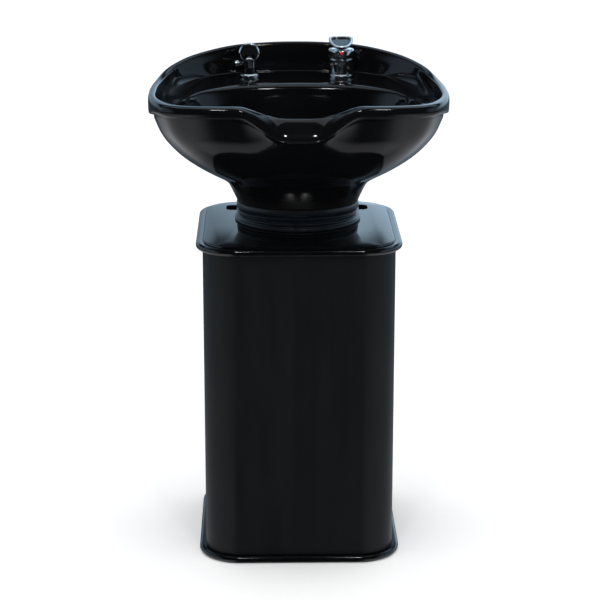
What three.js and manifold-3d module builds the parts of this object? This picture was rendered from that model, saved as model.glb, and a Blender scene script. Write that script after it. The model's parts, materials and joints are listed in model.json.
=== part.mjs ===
// Shampoo backwash unit: a tilting bowl on a pedestal cabinet.
// Millimetres, +Z up, the client's side (the neck rest) faces -Y, the floor is Z = 0.
import * as THREE from 'three';
import { mergeVertices } from 'three/addons/utils/BufferGeometryUtils.js';
import Module from 'manifold-3d';

const wasm = await Module();
wasm.setup();

// ---- driving dimensions -------------------------------------------------
const GAP = 0.3;
const TURN = 2 * Math.PI;

const PLATE_WIDTH = 415;
const PLATE_DEPTH = 432;
const PLATE_CORNER = 86;
const PLATE_RIM = 14;
const PLATE_ROLL = 5;
const PANEL_INSET = 15;
const PANEL_RISE = 4;
const TOP_PLATE_Z = 650;

const SHELL_WIDTH = 388;
const SHELL_DEPTH = 407;
const SHELL_CORNER = 71;
const SHELL_WALL = 3;
const REAR_OPENING = 220;
const REAR_PANEL_WIDTH = 252;
const REAR_PANEL_TOP = 610;
const REAR_PANEL_BOTTOM = 40;

const NECK_Y = 47;
const PIVOT_Z = 700;
const PIVOT_PIN_RADIUS = 5;
const RUNNING_CLEARANCE = 0.08;

const PANEL_TOP_Z = TOP_PLATE_Z + PLATE_RIM + PANEL_RISE;
const NECK_TILT = 0.05;
const NECK_BOTTOM_Z = 695;
const NECK_RADIUS = 124;
const SPIGOT_RADIUS = 118.5;
const SPIGOT_HEIGHT = 12;
const BOWL_WALL = 8;

const RIM_Z = 954;
const RIM_BACK_START_Y = 98;
const RIM_BACK_SLOPE = 0.33;
const RIM_BACK_BLEND = 60;
const RIM_WIDTH_FRONT = 23;
const RIM_WIDTH_SIDE = 14;
const BAND_HEIGHT_FRONT = 24;
const BAND_HEIGHT_SIDE = 46;
const NECK_CUT_HALF_FLOOR = 20;
const NECK_CUT_HALF_TOP = 125;
const NECK_CUT_LIP_DROP = 59;
const NECK_CUT_RIDGE_DROP = 26;
const NECK_CUT_ROUNDING = 1.25;
const NECK_CUT_RIDGE_WIDENING = 0.75;
const NECK_CUT_SLOPE_WIDTH = 36;
const NECK_CUT_BAND_LOSS = 0.55;
const INNER_WALL_WIDTH = 22;
const MIN_SHELF = 4;

const DECK_EDGE_Y = 124;
const DECK_EDGE_Z = 934;
const DECK_SLOPE = 0.113;

const FLOOR_CENTRE_Y = 40;
const BASIN_FLOOR_Z = 787;
const BASIN_FLOOR_RADIUS = 60;
const DRAIN_SEAT_Z = 782;
const DRAIN_SEAT_RADIUS = 37;
const DRAIN_HOLE_RADIUS = 25;
const BASIN_UNDER_Z = 772;
const BOWL_RAYS = 42;

const MIXER_X = 95;
const SPRAY_X = -100;
const FITTINGS_Y = 197;
const SHANK_HOLE_RADIUS = 17;
const SHANK_RADIUS = 16;

// ---- materials ----------------------------------------------------------
const LOOKS = {
  glossBlack: { color: 0x0c0d10, roughness: 0.12, metalness: 0 },
  plateBlack: { color: 0x0f1214, roughness: 0.2, metalness: 0 },
  satinBlack: { color: 0x14181b, roughness: 0.38, metalness: 0 },
  rubberBlack: { color: 0x0f1113, roughness: 0.5, metalness: 0 },
  chrome: { color: 0xd8dce0, roughness: 0.08, metalness: 1 },
  zincSteel: { color: 0xb4b6b0, roughness: 0.45, metalness: 1 },
  brass: { color: 0xc0a050, roughness: 0.35, metalness: 1 },
  paintedSteel: { color: 0x1b1d20, roughness: 0.55, metalness: 0.2 },
  braid: { color: 0xa4a8ac, roughness: 0.45, metalness: 0.9 },
  greyHose: { color: 0x8f9396, roughness: 0.6, metalness: 0 },
  whitePlastic: { color: 0xd9dad6, roughness: 0.45, metalness: 0 },
  redPlastic: { color: 0xb01018, roughness: 0.3, metalness: 0 },
};

const unit = new THREE.Group();
unit.name = 'shampoo_backwash_unit';

function add(name, geometry, look) {
  const material = new THREE.MeshStandardMaterial(LOOKS[look]);
  const mesh = new THREE.Mesh(geometry, material);
  mesh.name = name;
  unit.add(mesh);
}

// ---- geometry helpers ---------------------------------------------------
function toManifold(geometry) {
  const bare = geometry.clone();
  bare.deleteAttribute('normal');
  bare.deleteAttribute('uv');
  const merged = mergeVertices(bare, 1e-3);
  const vertProperties = new Float32Array(merged.attributes.position.array);
  const triVerts = new Uint32Array(merged.index.array);
  return new wasm.Manifold(new wasm.Mesh({ numProp: 3, vertProperties, triVerts }));
}

function fromManifold(manifold) {
  const mesh = manifold.getMesh();
  const geometry = new THREE.BufferGeometry();
  const positions = new Float32Array((mesh.vertProperties.length / mesh.numProp) * 3);
  for (let v = 0; v * 3 < positions.length; v += 1) {
    for (let axis = 0; axis < 3; axis += 1) {
      positions[v * 3 + axis] = mesh.vertProperties[v * mesh.numProp + axis];
    }
  }
  geometry.setAttribute('position', new THREE.BufferAttribute(positions, 3));
  geometry.setIndex(new THREE.BufferAttribute(new Uint32Array(mesh.triVerts), 1));
  return geometry;
}

function cut(base, ...tools) {
  let result = toManifold(base);
  for (const tool of tools) {
    result = result.subtract(toManifold(tool));
  }
  return fromManifold(result);
}

function join(base, ...others) {
  let result = toManifold(base);
  for (const other of others) {
    result = result.add(toManifold(other));
  }
  return fromManifold(result);
}

function box(lowX, highX, lowY, highY, lowZ, highZ) {
  const geometry = new THREE.BoxGeometry(highX - lowX, highY - lowY, highZ - lowZ);
  return geometry.translate((lowX + highX) / 2, (lowY + highY) / 2, (lowZ + highZ) / 2);
}

function cylinderZ(radius, lowZ, highZ, x = 0, y = 0, sides = 20) {
  const geometry = new THREE.CylinderGeometry(radius, radius, highZ - lowZ, sides);
  return geometry.rotateX(Math.PI / 2).translate(x, y, (lowZ + highZ) / 2);
}

function cylinderX(radius, lowX, highX, y, z, sides = 24) {
  const geometry = new THREE.CylinderGeometry(radius, radius, highX - lowX, sides);
  return geometry.rotateZ(Math.PI / 2).translate((lowX + highX) / 2, y, z);
}

function cylinderY(radius, lowY, highY, x, z, sides = 16) {
  const geometry = new THREE.CylinderGeometry(radius, radius, highY - lowY, sides);
  return geometry.translate(x, (lowY + highY) / 2, z);
}

// A profile of [radius, z] pairs turned about a vertical axis.
function turned(profile, x, y, sides = 20) {
  const points = profile.map(([radius, z]) => new THREE.Vector2(radius, z));
  return new THREE.LatheGeometry(points, sides).rotateX(Math.PI / 2).translate(x, y, 0);
}

// A ring of rectangular section, turned about a vertical axis.
function ring(inner, outer, lowZ, highZ, x, y, sides = 20) {
  const profile = [[inner, lowZ], [outer, lowZ], [outer, highZ], [inner, highZ], [inner, lowZ]];
  return turned(profile, x, y, sides);
}

function roundedRect(width, depth, radius) {
  const x = width / 2;
  const y = depth / 2;
  const shape = new THREE.Shape();
  shape.moveTo(x - radius, -y);
  shape.absarc(x - radius, -y + radius, radius, -TURN / 4, 0, false);
  shape.absarc(x - radius, y - radius, radius, 0, TURN / 4, false);
  shape.absarc(-x + radius, y - radius, radius, TURN / 4, TURN / 2, false);
  shape.absarc(-x + radius, -y + radius, radius, TURN / 2, 0.75 * TURN, false);
  return shape;
}

function slab(shape, lowZ, highZ, cornerSteps = 6) {
  const options = { depth: highZ - lowZ, bevelEnabled: false, curveSegments: cornerSteps };
  return new THREE.ExtrudeGeometry(shape, options).translate(0, 0, lowZ);
}

function rolledSlab(width, depth, radius, roll, lowZ, highZ) {
  const shape = roundedRect(width - 2 * roll, depth - 2 * roll, radius - roll);
  const options = {
    depth: highZ - lowZ - 2 * roll,
    bevelThickness: roll,
    bevelSize: roll,
    bevelSegments: 2,
    curveSegments: 5,
  };
  return new THREE.ExtrudeGeometry(shape, options).translate(0, 0, lowZ + roll);
}

// A round rod or hose swept along a smooth path.
function rod(path, radius, sides, steps) {
  const curve = new THREE.CatmullRomCurve3(path.map((point) => new THREE.Vector3(...point)));
  const shape = new THREE.Shape().absarc(0, 0, radius, 0, TURN, false);
  return new THREE.ExtrudeGeometry(shape, { steps, extrudePath: curve, curveSegments: sides });
}

// Rings of points, outside going up and inside coming down, joined end to end.
function closedLoft(rings) {
  const count = rings[0].length;
  const positions = [];
  const index = [];
  rings.forEach((points) => points.forEach((p) => positions.push(p[0], p[1], p[2])));
  rings.forEach((points, i) => {
    const here = i * count;
    const next = ((i + 1) % rings.length) * count;
    for (let j = 0; j < count; j += 1) {
      const k = (j + 1) % count;
      index.push(here + j, here + k, next + k, here + j, next + k, next + j);
    }
  });
  const geometry = new THREE.BufferGeometry();
  geometry.setAttribute('position', new THREE.Float32BufferAttribute(positions, 3));
  geometry.setIndex(index);
  return geometry;
}

function blend(from, to, share) {
  return from + (to - from) * share;
}

function smoothStep(low, high, value) {
  const share = Math.min(1, Math.max(0, (value - low) / (high - low)));
  return share * share * (3 - 2 * share);
}

// ---- cabinet ------------------------------------------------------------
function plate(lowZ) {
  const rimTop = lowZ + PLATE_RIM;
  const rim = rolledSlab(PLATE_WIDTH, PLATE_DEPTH, PLATE_CORNER, PLATE_ROLL, lowZ, rimTop);
  const width = PLATE_WIDTH - 2 * PANEL_INSET;
  const depth = PLATE_DEPTH - 2 * PANEL_INSET;
  const panel = slab(roundedRect(width, depth, PLATE_CORNER - PANEL_INSET), rimTop - 2, rimTop + PANEL_RISE);
  return join(rim, panel);
}

const ANCHOR_X = 150;
const ANCHOR_Y = 150;
const ANCHOR_HOLE_RADIUS = 6;

function basePlate() {
  const seat = PLATE_RIM;
  const rim = rolledSlab(PLATE_WIDTH, PLATE_DEPTH, PLATE_CORNER, PLATE_ROLL, 0, PLATE_RIM);
  const clearance = 2 * (SHELL_WALL + 0.4);
  const spigotCorner = SHELL_CORNER - SHELL_WALL - 0.4;
  const spigotShape = roundedRect(SHELL_WIDTH - clearance, SHELL_DEPTH - clearance, spigotCorner);
  const spigot = slab(spigotShape, seat - 2, seat + PANEL_RISE);
  const pipeWay = slab(roundedRect(190, 150, 20), -1, seat + 10, 3).translate(0, 55, 0);
  const anchors = [-1, 1].flatMap((sideX) => [-1, 1].map((sideY) => (
    cylinderZ(ANCHOR_HOLE_RADIUS, -1, 30, sideX * ANCHOR_X, sideY * ANCHOR_Y, 12))));
  return cut(join(rim, spigot), pipeWay, ...anchors);
}

const NECK_OPENING_RADIUS = 112;
const SLOT_INNER_X = 96;
const SLOT_OUTER_X = 151;
const SLOT_Y = 143;
const SLOT_WIDTH = 46;

function rearSlots(lowZ, highZ) {
  return [-1, 1].map((side) => {
    const shape = roundedRect(SLOT_OUTER_X - SLOT_INNER_X, SLOT_WIDTH, 12);
    const middle = side * (SLOT_INNER_X + SLOT_OUTER_X) / 2;
    return slab(shape, lowZ, highZ, 2).translate(middle, SLOT_Y, 0);
  });
}

function topPlate() {
  const neckOpening = cylinderZ(NECK_OPENING_RADIUS, TOP_PLATE_Z - 1, PANEL_TOP_Z + 1, 0, NECK_Y, 32);
  return cut(plate(TOP_PLATE_Z), neckOpening, ...rearSlots(TOP_PLATE_Z - 1, PANEL_TOP_Z + 1));
}

const SHELL_BOTTOM_Z = PLATE_RIM + GAP;
const SHELL_TOP_Z = TOP_PLATE_Z - GAP;

function shell() {
  const outer = roundedRect(SHELL_WIDTH, SHELL_DEPTH, SHELL_CORNER);
  const innerWidth = SHELL_WIDTH - 2 * SHELL_WALL;
  const innerDepth = SHELL_DEPTH - 2 * SHELL_WALL;
  const inner = roundedRect(innerWidth, innerDepth, SHELL_CORNER - SHELL_WALL);
  const body = slab(outer, SHELL_BOTTOM_Z, SHELL_TOP_Z);
  const hollow = slab(inner, SHELL_BOTTOM_Z - 1, SHELL_TOP_Z + 1);
  const half = REAR_OPENING / 2;
  const opening = box(-half, half, SHELL_DEPTH / 2 - 20, SHELL_DEPTH / 2 + 5, 55, 595);
  const pipeNotch = box(-60, 60, SHELL_DEPTH / 2 - 20, SHELL_DEPTH / 2 + 5, 0, 70);
  return cut(body, hollow, opening, pipeNotch);
}

const REAR_PANEL_Y = SHELL_DEPTH / 2 + GAP;
const REAR_SCREW_X = 117;
const REAR_SCREW_ZS = [60, 325, 590];

function rearPanel() {
  const height = REAR_PANEL_TOP - REAR_PANEL_BOTTOM;
  const flat = slab(roundedRect(REAR_PANEL_WIDTH, height, 10), 0, SHELL_WALL, 4);
  flat.rotateX(Math.PI / 2);
  flat.translate(0, REAR_PANEL_Y + SHELL_WALL, (REAR_PANEL_TOP + REAR_PANEL_BOTTOM) / 2);
  const notch = slab(roundedRect(120, 160, 25), -1, SHELL_WALL + 1, 4);
  notch.rotateX(Math.PI / 2);
  notch.translate(0, REAR_PANEL_Y + SHELL_WALL, REAR_PANEL_BOTTOM);
  return cut(flat, notch);
}

function rearScrew(x, z) {
  const face = REAR_PANEL_Y + SHELL_WALL + GAP;
  const head = cylinderY(5, face, face + 2.6, x, z, 12);
  const driveSlot = box(x - 3.5, x + 3.5, face + 1.4, face + 4, z - 0.6, z + 0.6);
  return cut(head, driveSlot);
}

// ---- inner frame and tilt mechanism -------------------------------------
const POST_SIZE = 25;
const POST_WALL = 2;
const POST_X = 168;
const POST_FRONT_Y = -125;
const POST_BACK_Y = 150;
const FRAME_PLATE_LOW_Z = 641;
const FRAME_PLATE_HIGH_Z = 646;

function post(x, y) {
  const half = POST_SIZE / 2;
  const hollow = half - POST_WALL;
  const lowZ = PLATE_RIM + PANEL_RISE + GAP;
  const highZ = FRAME_PLATE_LOW_Z - GAP;
  const outside = box(x - half, x + half, y - half, y + half, lowZ, highZ);
  const inside = box(x - hollow, x + hollow, y - hollow, y + hollow, lowZ - 1, highZ + 1);
  return cut(outside, inside);
}

function framePlate() {
  const outline = slab(roundedRect(354, 315, 58), FRAME_PLATE_LOW_Z, FRAME_PLATE_HIGH_Z, 3);
  outline.translate(0, (POST_FRONT_Y + POST_BACK_Y) / 2, 0);
  const hoseWay = slab(roundedRect(160, 190, 30), FRAME_PLATE_LOW_Z - 1, FRAME_PLATE_HIGH_Z + 1, 3);
  hoseWay.translate(0, 50, 0);
  return cut(outline, hoseWay, ...rearSlots(FRAME_PLATE_LOW_Z - 1, FRAME_PLATE_HIGH_Z + 1));
}

function crossRail(lowZ) {
  const half = POST_X - POST_SIZE / 2 - GAP;
  const outside = box(-half, half, POST_BACK_Y - 10, POST_BACK_Y + 10, lowZ, lowZ + 20);
  const inside = box(-POST_X, POST_X, POST_BACK_Y - 8, POST_BACK_Y + 8, lowZ + 2, lowZ + 18);
  return cut(outside, inside);
}

const LOWER_EAR_INNER_X = 88;
const LOWER_EAR_OUTER_X = 93;
const UPPER_EAR_INNER_X = 81;
const UPPER_EAR_OUTER_X = 85;
const EAR_HALF_WIDTH = 22;

// An upright ear with a round top, its hole on the tilt axis.
function ear(innerX, outerX, endZ, holeRadius) {
  const lowZ = Math.min(endZ, PIVOT_Z);
  const highZ = Math.max(endZ, PIVOT_Z);
  const blade = box(innerX, outerX, NECK_Y - EAR_HALF_WIDTH, NECK_Y + EAR_HALF_WIDTH, lowZ, highZ);
  const roundEnd = cylinderX(EAR_HALF_WIDTH, innerX, outerX, NECK_Y, PIVOT_Z);
  const hole = cylinderX(holeRadius, innerX - 1, outerX + 1, NECK_Y, PIVOT_Z);
  return { solid: join(blade, roundEnd), hole };
}

function lowerBracket(side) {
  const floorZ = FRAME_PLATE_HIGH_Z + GAP;
  const holeRadius = PIVOT_PIN_RADIUS + RUNNING_CLEARANCE;
  const { solid, hole } = ear(LOWER_EAR_INNER_X, LOWER_EAR_OUTER_X, floorZ, holeRadius);
  const foot = box(LOWER_EAR_INNER_X, 107, NECK_Y - 32, NECK_Y + 32, floorZ, floorZ + 3.4);
  const bracket = cut(join(solid, foot), hole);
  return side < 0 ? mirrored(bracket) : bracket;
}

function mirrored(geometry) {
  return fromManifold(toManifold(geometry).mirror([1, 0, 0]));
}

const YOKE_TOP_Z = 765.5;
const YOKE_THICKNESS = 4;

function tiltYoke() {
  const yokeLow = YOKE_TOP_Z - YOKE_THICKNESS;
  const tray = box(-UPPER_EAR_OUTER_X, UPPER_EAR_OUTER_X, NECK_Y - 45, NECK_Y + 30, yokeLow, YOKE_TOP_Z);
  const ears = [1, -1].map((side) => {
    const innerX = side > 0 ? UPPER_EAR_INNER_X : -UPPER_EAR_OUTER_X;
    const outerX = side > 0 ? UPPER_EAR_OUTER_X : -UPPER_EAR_INNER_X;
    return ear(innerX, outerX, YOKE_TOP_Z, PIVOT_PIN_RADIUS + RUNNING_CLEARANCE);
  });
  const drainWay = cylinderZ(DRAIN_HOLE_RADIUS + 1, yokeLow - 1, YOKE_TOP_Z + 1, 0, FLOOR_CENTRE_Y, 24);
  return cut(join(tray, ears[0].solid, ears[1].solid), drainWay, ears[0].hole, ears[1].hole);
}

const PIVOT_HEAD_RADIUS = 9;

function pivotBolt(side) {
  const headInner = LOWER_EAR_OUTER_X + GAP;
  const head = cylinderX(PIVOT_HEAD_RADIUS, headInner, headInner + 6, NECK_Y, PIVOT_Z, 6);
  const shank = cylinderX(PIVOT_PIN_RADIUS, 70, headInner + 1, NECK_Y, PIVOT_Z);
  const bolt = join(head, shank);
  return side < 0 ? mirrored(bolt) : bolt;
}

function pivotWasher(side) {
  const innerX = UPPER_EAR_OUTER_X + GAP;
  const outerX = LOWER_EAR_INNER_X - GAP;
  const disc = cylinderX(15, innerX, outerX, NECK_Y, PIVOT_Z, 16);
  const hole = cylinderX(PIVOT_PIN_RADIUS + 0.5, innerX - 1, outerX + 1, NECK_Y, PIVOT_Z, 12);
  const washer = cut(disc, hole);
  return side < 0 ? mirrored(washer) : washer;
}

function pivotNut(side) {
  const outerX = UPPER_EAR_INNER_X - GAP;
  const nut = cylinderX(PIVOT_HEAD_RADIUS, outerX - 8, outerX, NECK_Y, PIVOT_Z, 6);
  const hole = cylinderX(PIVOT_PIN_RADIUS + 0.5, outerX - 9, outerX + 1, NECK_Y, PIVOT_Z, 12);
  const result = cut(nut, hole);
  return side < 0 ? mirrored(result) : result;
}

// ---- bowl ---------------------------------------------------------------
// Half outlines in plan, from the front centre round the +X side to the back centre.
const RIM_OUTLINE = [
  [0, -257.6], [110, -257], [200, -253], [259, -232], [285, -180], [297, -120], [300, -65],
  [298, 20], [281, 118], [248, 172], [209, 206], [142, 240], [70, 254], [0, 258],
];
const WALL_FOOT_OUTLINE = [
  [0, -222], [110, -224], [190, -220], [243, -190], [256, -120], [250, -65], [241, -10],
  [230, 45], [220, 103], [204, 165], [179, 210], [100, 233], [0, 239],
];
const LEDGE_OUTLINE = [
  [0, -218], [110, -220], [186, -215], [237, -186], [250, -120], [244, -65], [236, -10],
  [229, 20], [213, 58], [187, 84], [150, 104], [118, 116], [62, 125], [0, 128],
];

// [share of the height, share of the way from neck to rim] of the outer skin.
const SKIN_PROFILE = [
  [0.09, 0.018], [0.20, 0.08], [0.30, 0.18], [0.40, 0.36], [0.54, 0.585], [0.69, 0.755],
  [0.85, 0.88], [1, 0.952],
];

// Rays from the neck's axis, closer together at the neck rest.
function rayAngles(count) {
  return Array.from({ length: count }, (_, j) => {
    const turn = (TURN * j) / count;
    return turn - 0.5 * Math.sin(turn);
  });
}

// Where a mirrored half outline crosses a ray from the neck's axis.
function outlineRadius(half, angle) {
  const otherHalf = half.slice(1, -1).reverse().map(([x, y]) => [-x, y]);
  const points = [...half, ...otherHalf].map(([x, y]) => new THREE.Vector3(x, y, 0));
  const curve = new THREE.CatmullRomCurve3(points, true, 'centripetal');
  const samples = outlineRadius.cache.get(half) ?? curve.getPoints(600).map((p) => ({
    angle: (Math.atan2(p.x, NECK_Y - p.y) + TURN) % TURN,
    radius: Math.hypot(p.x, p.y - NECK_Y),
  })).sort((a, b) => a.angle - b.angle);
  outlineRadius.cache.set(half, samples);
  const target = (angle + TURN) % TURN;
  const after = samples.findIndex((sample) => sample.angle >= target);
  const high = samples[Math.max(after, 0)];
  const low = samples[after > 0 ? after - 1 : samples.length - 1];
  const span = Math.max(1e-9, (high.angle - low.angle + TURN) % TURN);
  return blend(low.radius, high.radius, ((target - low.angle + TURN) % TURN) / span);
}
outlineRadius.cache = new Map();

function onRay(angle, radius, z) {
  return [radius * Math.sin(angle), NECK_Y - radius * Math.cos(angle), z];
}

function deckZ(y) {
  return DECK_EDGE_Z + DECK_SLOPE * (y - DECK_EDGE_Y);
}

// Everything the bowl's section needs along one ray.
function rayData(angle) {
  const rim = outlineRadius(RIM_OUTLINE, angle);
  const [x, y] = onRay(angle, rim, 0);
  const over = y - RIM_BACK_START_Y;
  const rise = RIM_BACK_SLOPE * (over + Math.hypot(over, RIM_BACK_BLEND)) / 2;
  const outsideCut = smoothStep(NECK_CUT_HALF_FLOOR, NECK_CUT_HALF_TOP, Math.abs(x)) ** NECK_CUT_ROUNDING;
  const cutShare = y < 0 ? 1 - outsideCut : 0;
  const ridgeShare = cutShare ** NECK_CUT_RIDGE_WIDENING;
  const rimWidth = blend(RIM_WIDTH_FRONT, RIM_WIDTH_SIDE, smoothStep(-240, -120, y));
  const footLimit = rim - blend(INNER_WALL_WIDTH, NECK_CUT_SLOPE_WIDTH + 15, cutShare);
  const foot = Math.min(outlineRadius(WALL_FOOT_OUTLINE, angle), footLimit);
  const ledge = Math.min(outlineRadius(LEDGE_OUTLINE, angle), foot - MIN_SHELF);
  const uncutBand = blend(BAND_HEIGHT_FRONT, BAND_HEIGHT_SIDE, smoothStep(-220, -60, y));
  const back = smoothStep(-90, 60, y);
  return {
    angle,
    rim,
    foot,
    ledge,
    back,
    cutShare,
    lipZ: RIM_Z + rise - NECK_CUT_LIP_DROP * cutShare,
    ridgeZ: RIM_Z + rise - NECK_CUT_RIDGE_DROP * ridgeShare,
    topInset: blend(rimWidth, NECK_CUT_SLOPE_WIDTH, cutShare),
    bandHeight: uncutBand * (1 - NECK_CUT_BAND_LOSS * cutShare),
  };
}

function neckBottom(angle, radius, rise) {
  const y = NECK_Y - radius * Math.cos(angle);
  return onRay(angle, radius, NECK_BOTTOM_Z + rise - NECK_TILT * (y - NECK_Y));
}

function skinPoint(ray, heightShare, rimShare, inset) {
  const cutDrop = NECK_CUT_LIP_DROP * ray.cutShare;
  const uncutBandZ = ray.lipZ - ray.bandHeight + cutDrop;
  const radius = blend(NECK_RADIUS, ray.rim, rimShare) - inset;
  const lowZ = NECK_BOTTOM_Z + NECK_TILT * radius * Math.cos(ray.angle) * (1 - heightShare);
  return onRay(ray.angle, radius, blend(lowZ, uncutBandZ, heightShare) - cutDrop * heightShare ** 5);
}

// Under the deck the basin wall follows the ledge; the skin's inner side closes the hollow.
const BASIN_LEVELS = [[900, 0.06], [850, 0.17], [812, 0.46]];

function basinPoint(ray, z, share, thickness) {
  const floorEdge = outlineFloorRadius(ray.angle);
  const radius = blend(ray.ledge, floorEdge, share) + thickness;
  return onRay(ray.angle, radius, z - thickness / 2);
}

// Radius of the round basin floor, measured from the neck's axis.
function outlineFloorRadius(angle, radius = BASIN_FLOOR_RADIUS) {
  const offset = NECK_Y - FLOOR_CENTRE_Y;
  const along = offset * Math.cos(angle);
  return along + Math.sqrt(radius * radius - offset * offset * Math.sin(angle) ** 2);
}

function bowl() {
  const rays = rayAngles(BOWL_RAYS).map(rayData);
  const rings = [];
  const level = (make) => rings.push(rays.map(make));
  level((r) => neckBottom(r.angle, SPIGOT_RADIUS, 0));
  level((r) => neckBottom(r.angle, SPIGOT_RADIUS, SPIGOT_HEIGHT));
  level((r) => neckBottom(r.angle, NECK_RADIUS, SPIGOT_HEIGHT + 0.5));
  SKIN_PROFILE.forEach(([h, w]) => level((r) => skinPoint(r, h, w, 0)));
  level((r) => onRay(r.angle, r.rim, r.lipZ - r.bandHeight + 6));
  level((r) => onRay(r.angle, r.rim, r.lipZ - 7));
  level((r) => onRay(r.angle, r.rim - blend(6, 12, r.cutShare), r.lipZ - blend(1, -8, r.cutShare)));
  level((r) => onRay(r.angle, r.rim - r.topInset, r.ridgeZ - 0.5));
  level((r) => onRay(r.angle, r.rim - r.topInset - 6, r.ridgeZ - 14));
  const footZ = (r) => blend(r.ridgeZ - 27, deckZ(NECK_Y - r.foot * Math.cos(r.angle)), r.back);
  const ledgeZ = (r) => blend(r.ridgeZ - 31, deckZ(NECK_Y - r.ledge * Math.cos(r.angle)), r.back);
  level((r) => onRay(r.angle, r.foot, footZ(r)));
  level((r) => onRay(r.angle, r.ledge, ledgeZ(r)));
  BASIN_LEVELS.forEach(([z, share]) => level((r) => basinPoint(r, z, share, 0)));
  level((r) => onRay(r.angle, outlineFloorRadius(r.angle), BASIN_FLOOR_Z));
  level((r) => onRay(r.angle, outlineFloorRadius(r.angle, DRAIN_SEAT_RADIUS), DRAIN_SEAT_Z));
  level((r) => onRay(r.angle, outlineFloorRadius(r.angle, DRAIN_HOLE_RADIUS), DRAIN_SEAT_Z));
  level((r) => onRay(r.angle, outlineFloorRadius(r.angle, DRAIN_HOLE_RADIUS), BASIN_UNDER_Z));
  level((r) => onRay(r.angle, outlineFloorRadius(r.angle) + 4, BASIN_UNDER_Z));
  [...BASIN_LEVELS].reverse().forEach(([z, share]) => (
    level((r) => basinPoint(r, z - 4 * (1 - r.back), share, BOWL_WALL))));
  const hollowTop = (r, radius) => {
    const under = deckZ(NECK_Y - radius * Math.cos(r.angle)) - BOWL_WALL;
    return onRay(r.angle, radius, blend(r.lipZ - r.bandHeight - 8, under, r.back));
  };
  level((r) => hollowTop(r, r.ledge + BOWL_WALL - 3 * (1 - r.back)));
  level((r) => hollowTop(r, Math.max(r.foot - 4 * r.back, r.ledge + BOWL_WALL)));
  [...SKIN_PROFILE].reverse().slice(1).forEach(([h, w]) => level((r) => skinPoint(r, h, w, BOWL_WALL)));
  level((r) => neckBottom(r.angle, SPIGOT_RADIUS - BOWL_WALL, 0));
  const shankHoles = [
    cylinderZ(SHANK_HOLE_RADIUS, 900, 980, MIXER_X, FITTINGS_Y, 24),
    cylinderZ(SHANK_HOLE_RADIUS, 900, 980, SPRAY_X, FITTINGS_Y, 24),
  ];
  return cut(closedLoft(rings), ...shankHoles);
}

// ---- drain --------------------------------------------------------------
const DRAIN_TAIL_RADIUS = 22;
const DRAIN_BORE_RADIUS = 19;
const DRAIN_TAIL_BOTTOM_Z = 728;

function drainFlange() {
  const seat = DRAIN_SEAT_Z + GAP;
  return turned([
    [DRAIN_BORE_RADIUS, DRAIN_TAIL_BOTTOM_Z], [DRAIN_TAIL_RADIUS, DRAIN_TAIL_BOTTOM_Z],
    [DRAIN_TAIL_RADIUS, seat], [35, seat], [34, seat + 2.5], [24, seat + 2], [DRAIN_BORE_RADIUS, seat - 3],
    [DRAIN_BORE_RADIUS, DRAIN_TAIL_BOTTOM_Z],
  ], 0, FLOOR_CENTRE_Y);
}

function drainStrainer() {
  const lowZ = DRAIN_SEAT_Z + GAP + 3;
  const cup = turned([
    [0, lowZ - 14], [15, lowZ - 14], [17.5, lowZ], [27, lowZ], [27, lowZ + 1.2],
    [15.8, lowZ + 1.2], [13.5, lowZ - 12.6], [0, lowZ - 12.6],
  ], 0, FLOOR_CENTRE_Y, 24);
  const holes = [];
  for (let i = 0; i < 6; i += 1) {
    const angle = (TURN * i) / 6;
    const x = 8 * Math.cos(angle);
    const y = FLOOR_CENTRE_Y + 8 * Math.sin(angle);
    holes.push(cylinderZ(2.4, lowZ - 16, lowZ - 10, x, y, 8));
  }
  return cut(cup, ...holes);
}

function hexNut(innerRadius, outerRadius, lowZ, highZ, x, y) {
  const nut = cylinderZ(outerRadius, lowZ, highZ, x, y, 6);
  return cut(nut, cylinderZ(innerRadius, lowZ - 1, highZ + 1, x, y));
}

// ---- mixer --------------------------------------------------------------
const MIXER_BASE_TOP_Z = 949;
const MIXER_BODY_TOP_Z = 981;
const TURRET_TOP_Z = 1001.5;
const MIXER_RADIUS = 26.3;
const TURRET_RADIUS = 27.3;
const SHANK_BOTTOM_Z = 896;
const LEVER_PIVOT_Y = FITTINGS_Y - 19;
const LEVER_PIVOT_Z = 990;
const LEVER_SLOPE = 0.26;
const LEVER_LOW_Z = 1008.8;
const LEVER_THICKNESS = 6;
const LEVER_FLOOR = 2.5;

// Moves the vertices at one height onto a plane parallel to the deck.
function onDeck(geometry, flatZ, offset) {
  const positions = geometry.attributes.position;
  for (let v = 0; v < positions.count; v += 1) {
    if (Math.abs(positions.getZ(v) - flatZ) < 0.01) {
      positions.setZ(v, deckZ(positions.getY(v)) + offset);
    }
  }
  return geometry;
}

function deckFlange(innerRadius, outerRadius, topZ, x) {
  const low = MIXER_BASE_TOP_Z - 8;
  const profile = [
    [innerRadius, low], [outerRadius, low], [outerRadius, topZ - 1.5], [outerRadius - 2, topZ],
    [innerRadius, topZ], [innerRadius, low],
  ];
  return onDeck(turned(profile, x, FITTINGS_Y), low, GAP);
}

function underDeckWasher(x) {
  const top = 931;
  const washer = ring(SHANK_RADIUS + 0.4, 24, 925, top, x, FITTINGS_Y, 24);
  return onDeck(washer, top, -BOWL_WALL - GAP);
}

function mixerBody() {
  return turned([
    [0, SHANK_BOTTOM_Z], [SHANK_RADIUS, SHANK_BOTTOM_Z], [SHANK_RADIUS, MIXER_BASE_TOP_Z + GAP],
    [MIXER_RADIUS, MIXER_BASE_TOP_Z + GAP], [MIXER_RADIUS, MIXER_BODY_TOP_Z - 1.5],
    [MIXER_RADIUS - 1.5, MIXER_BODY_TOP_Z], [0, MIXER_BODY_TOP_Z],
  ], MIXER_X, FITTINGS_Y);
}

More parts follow.
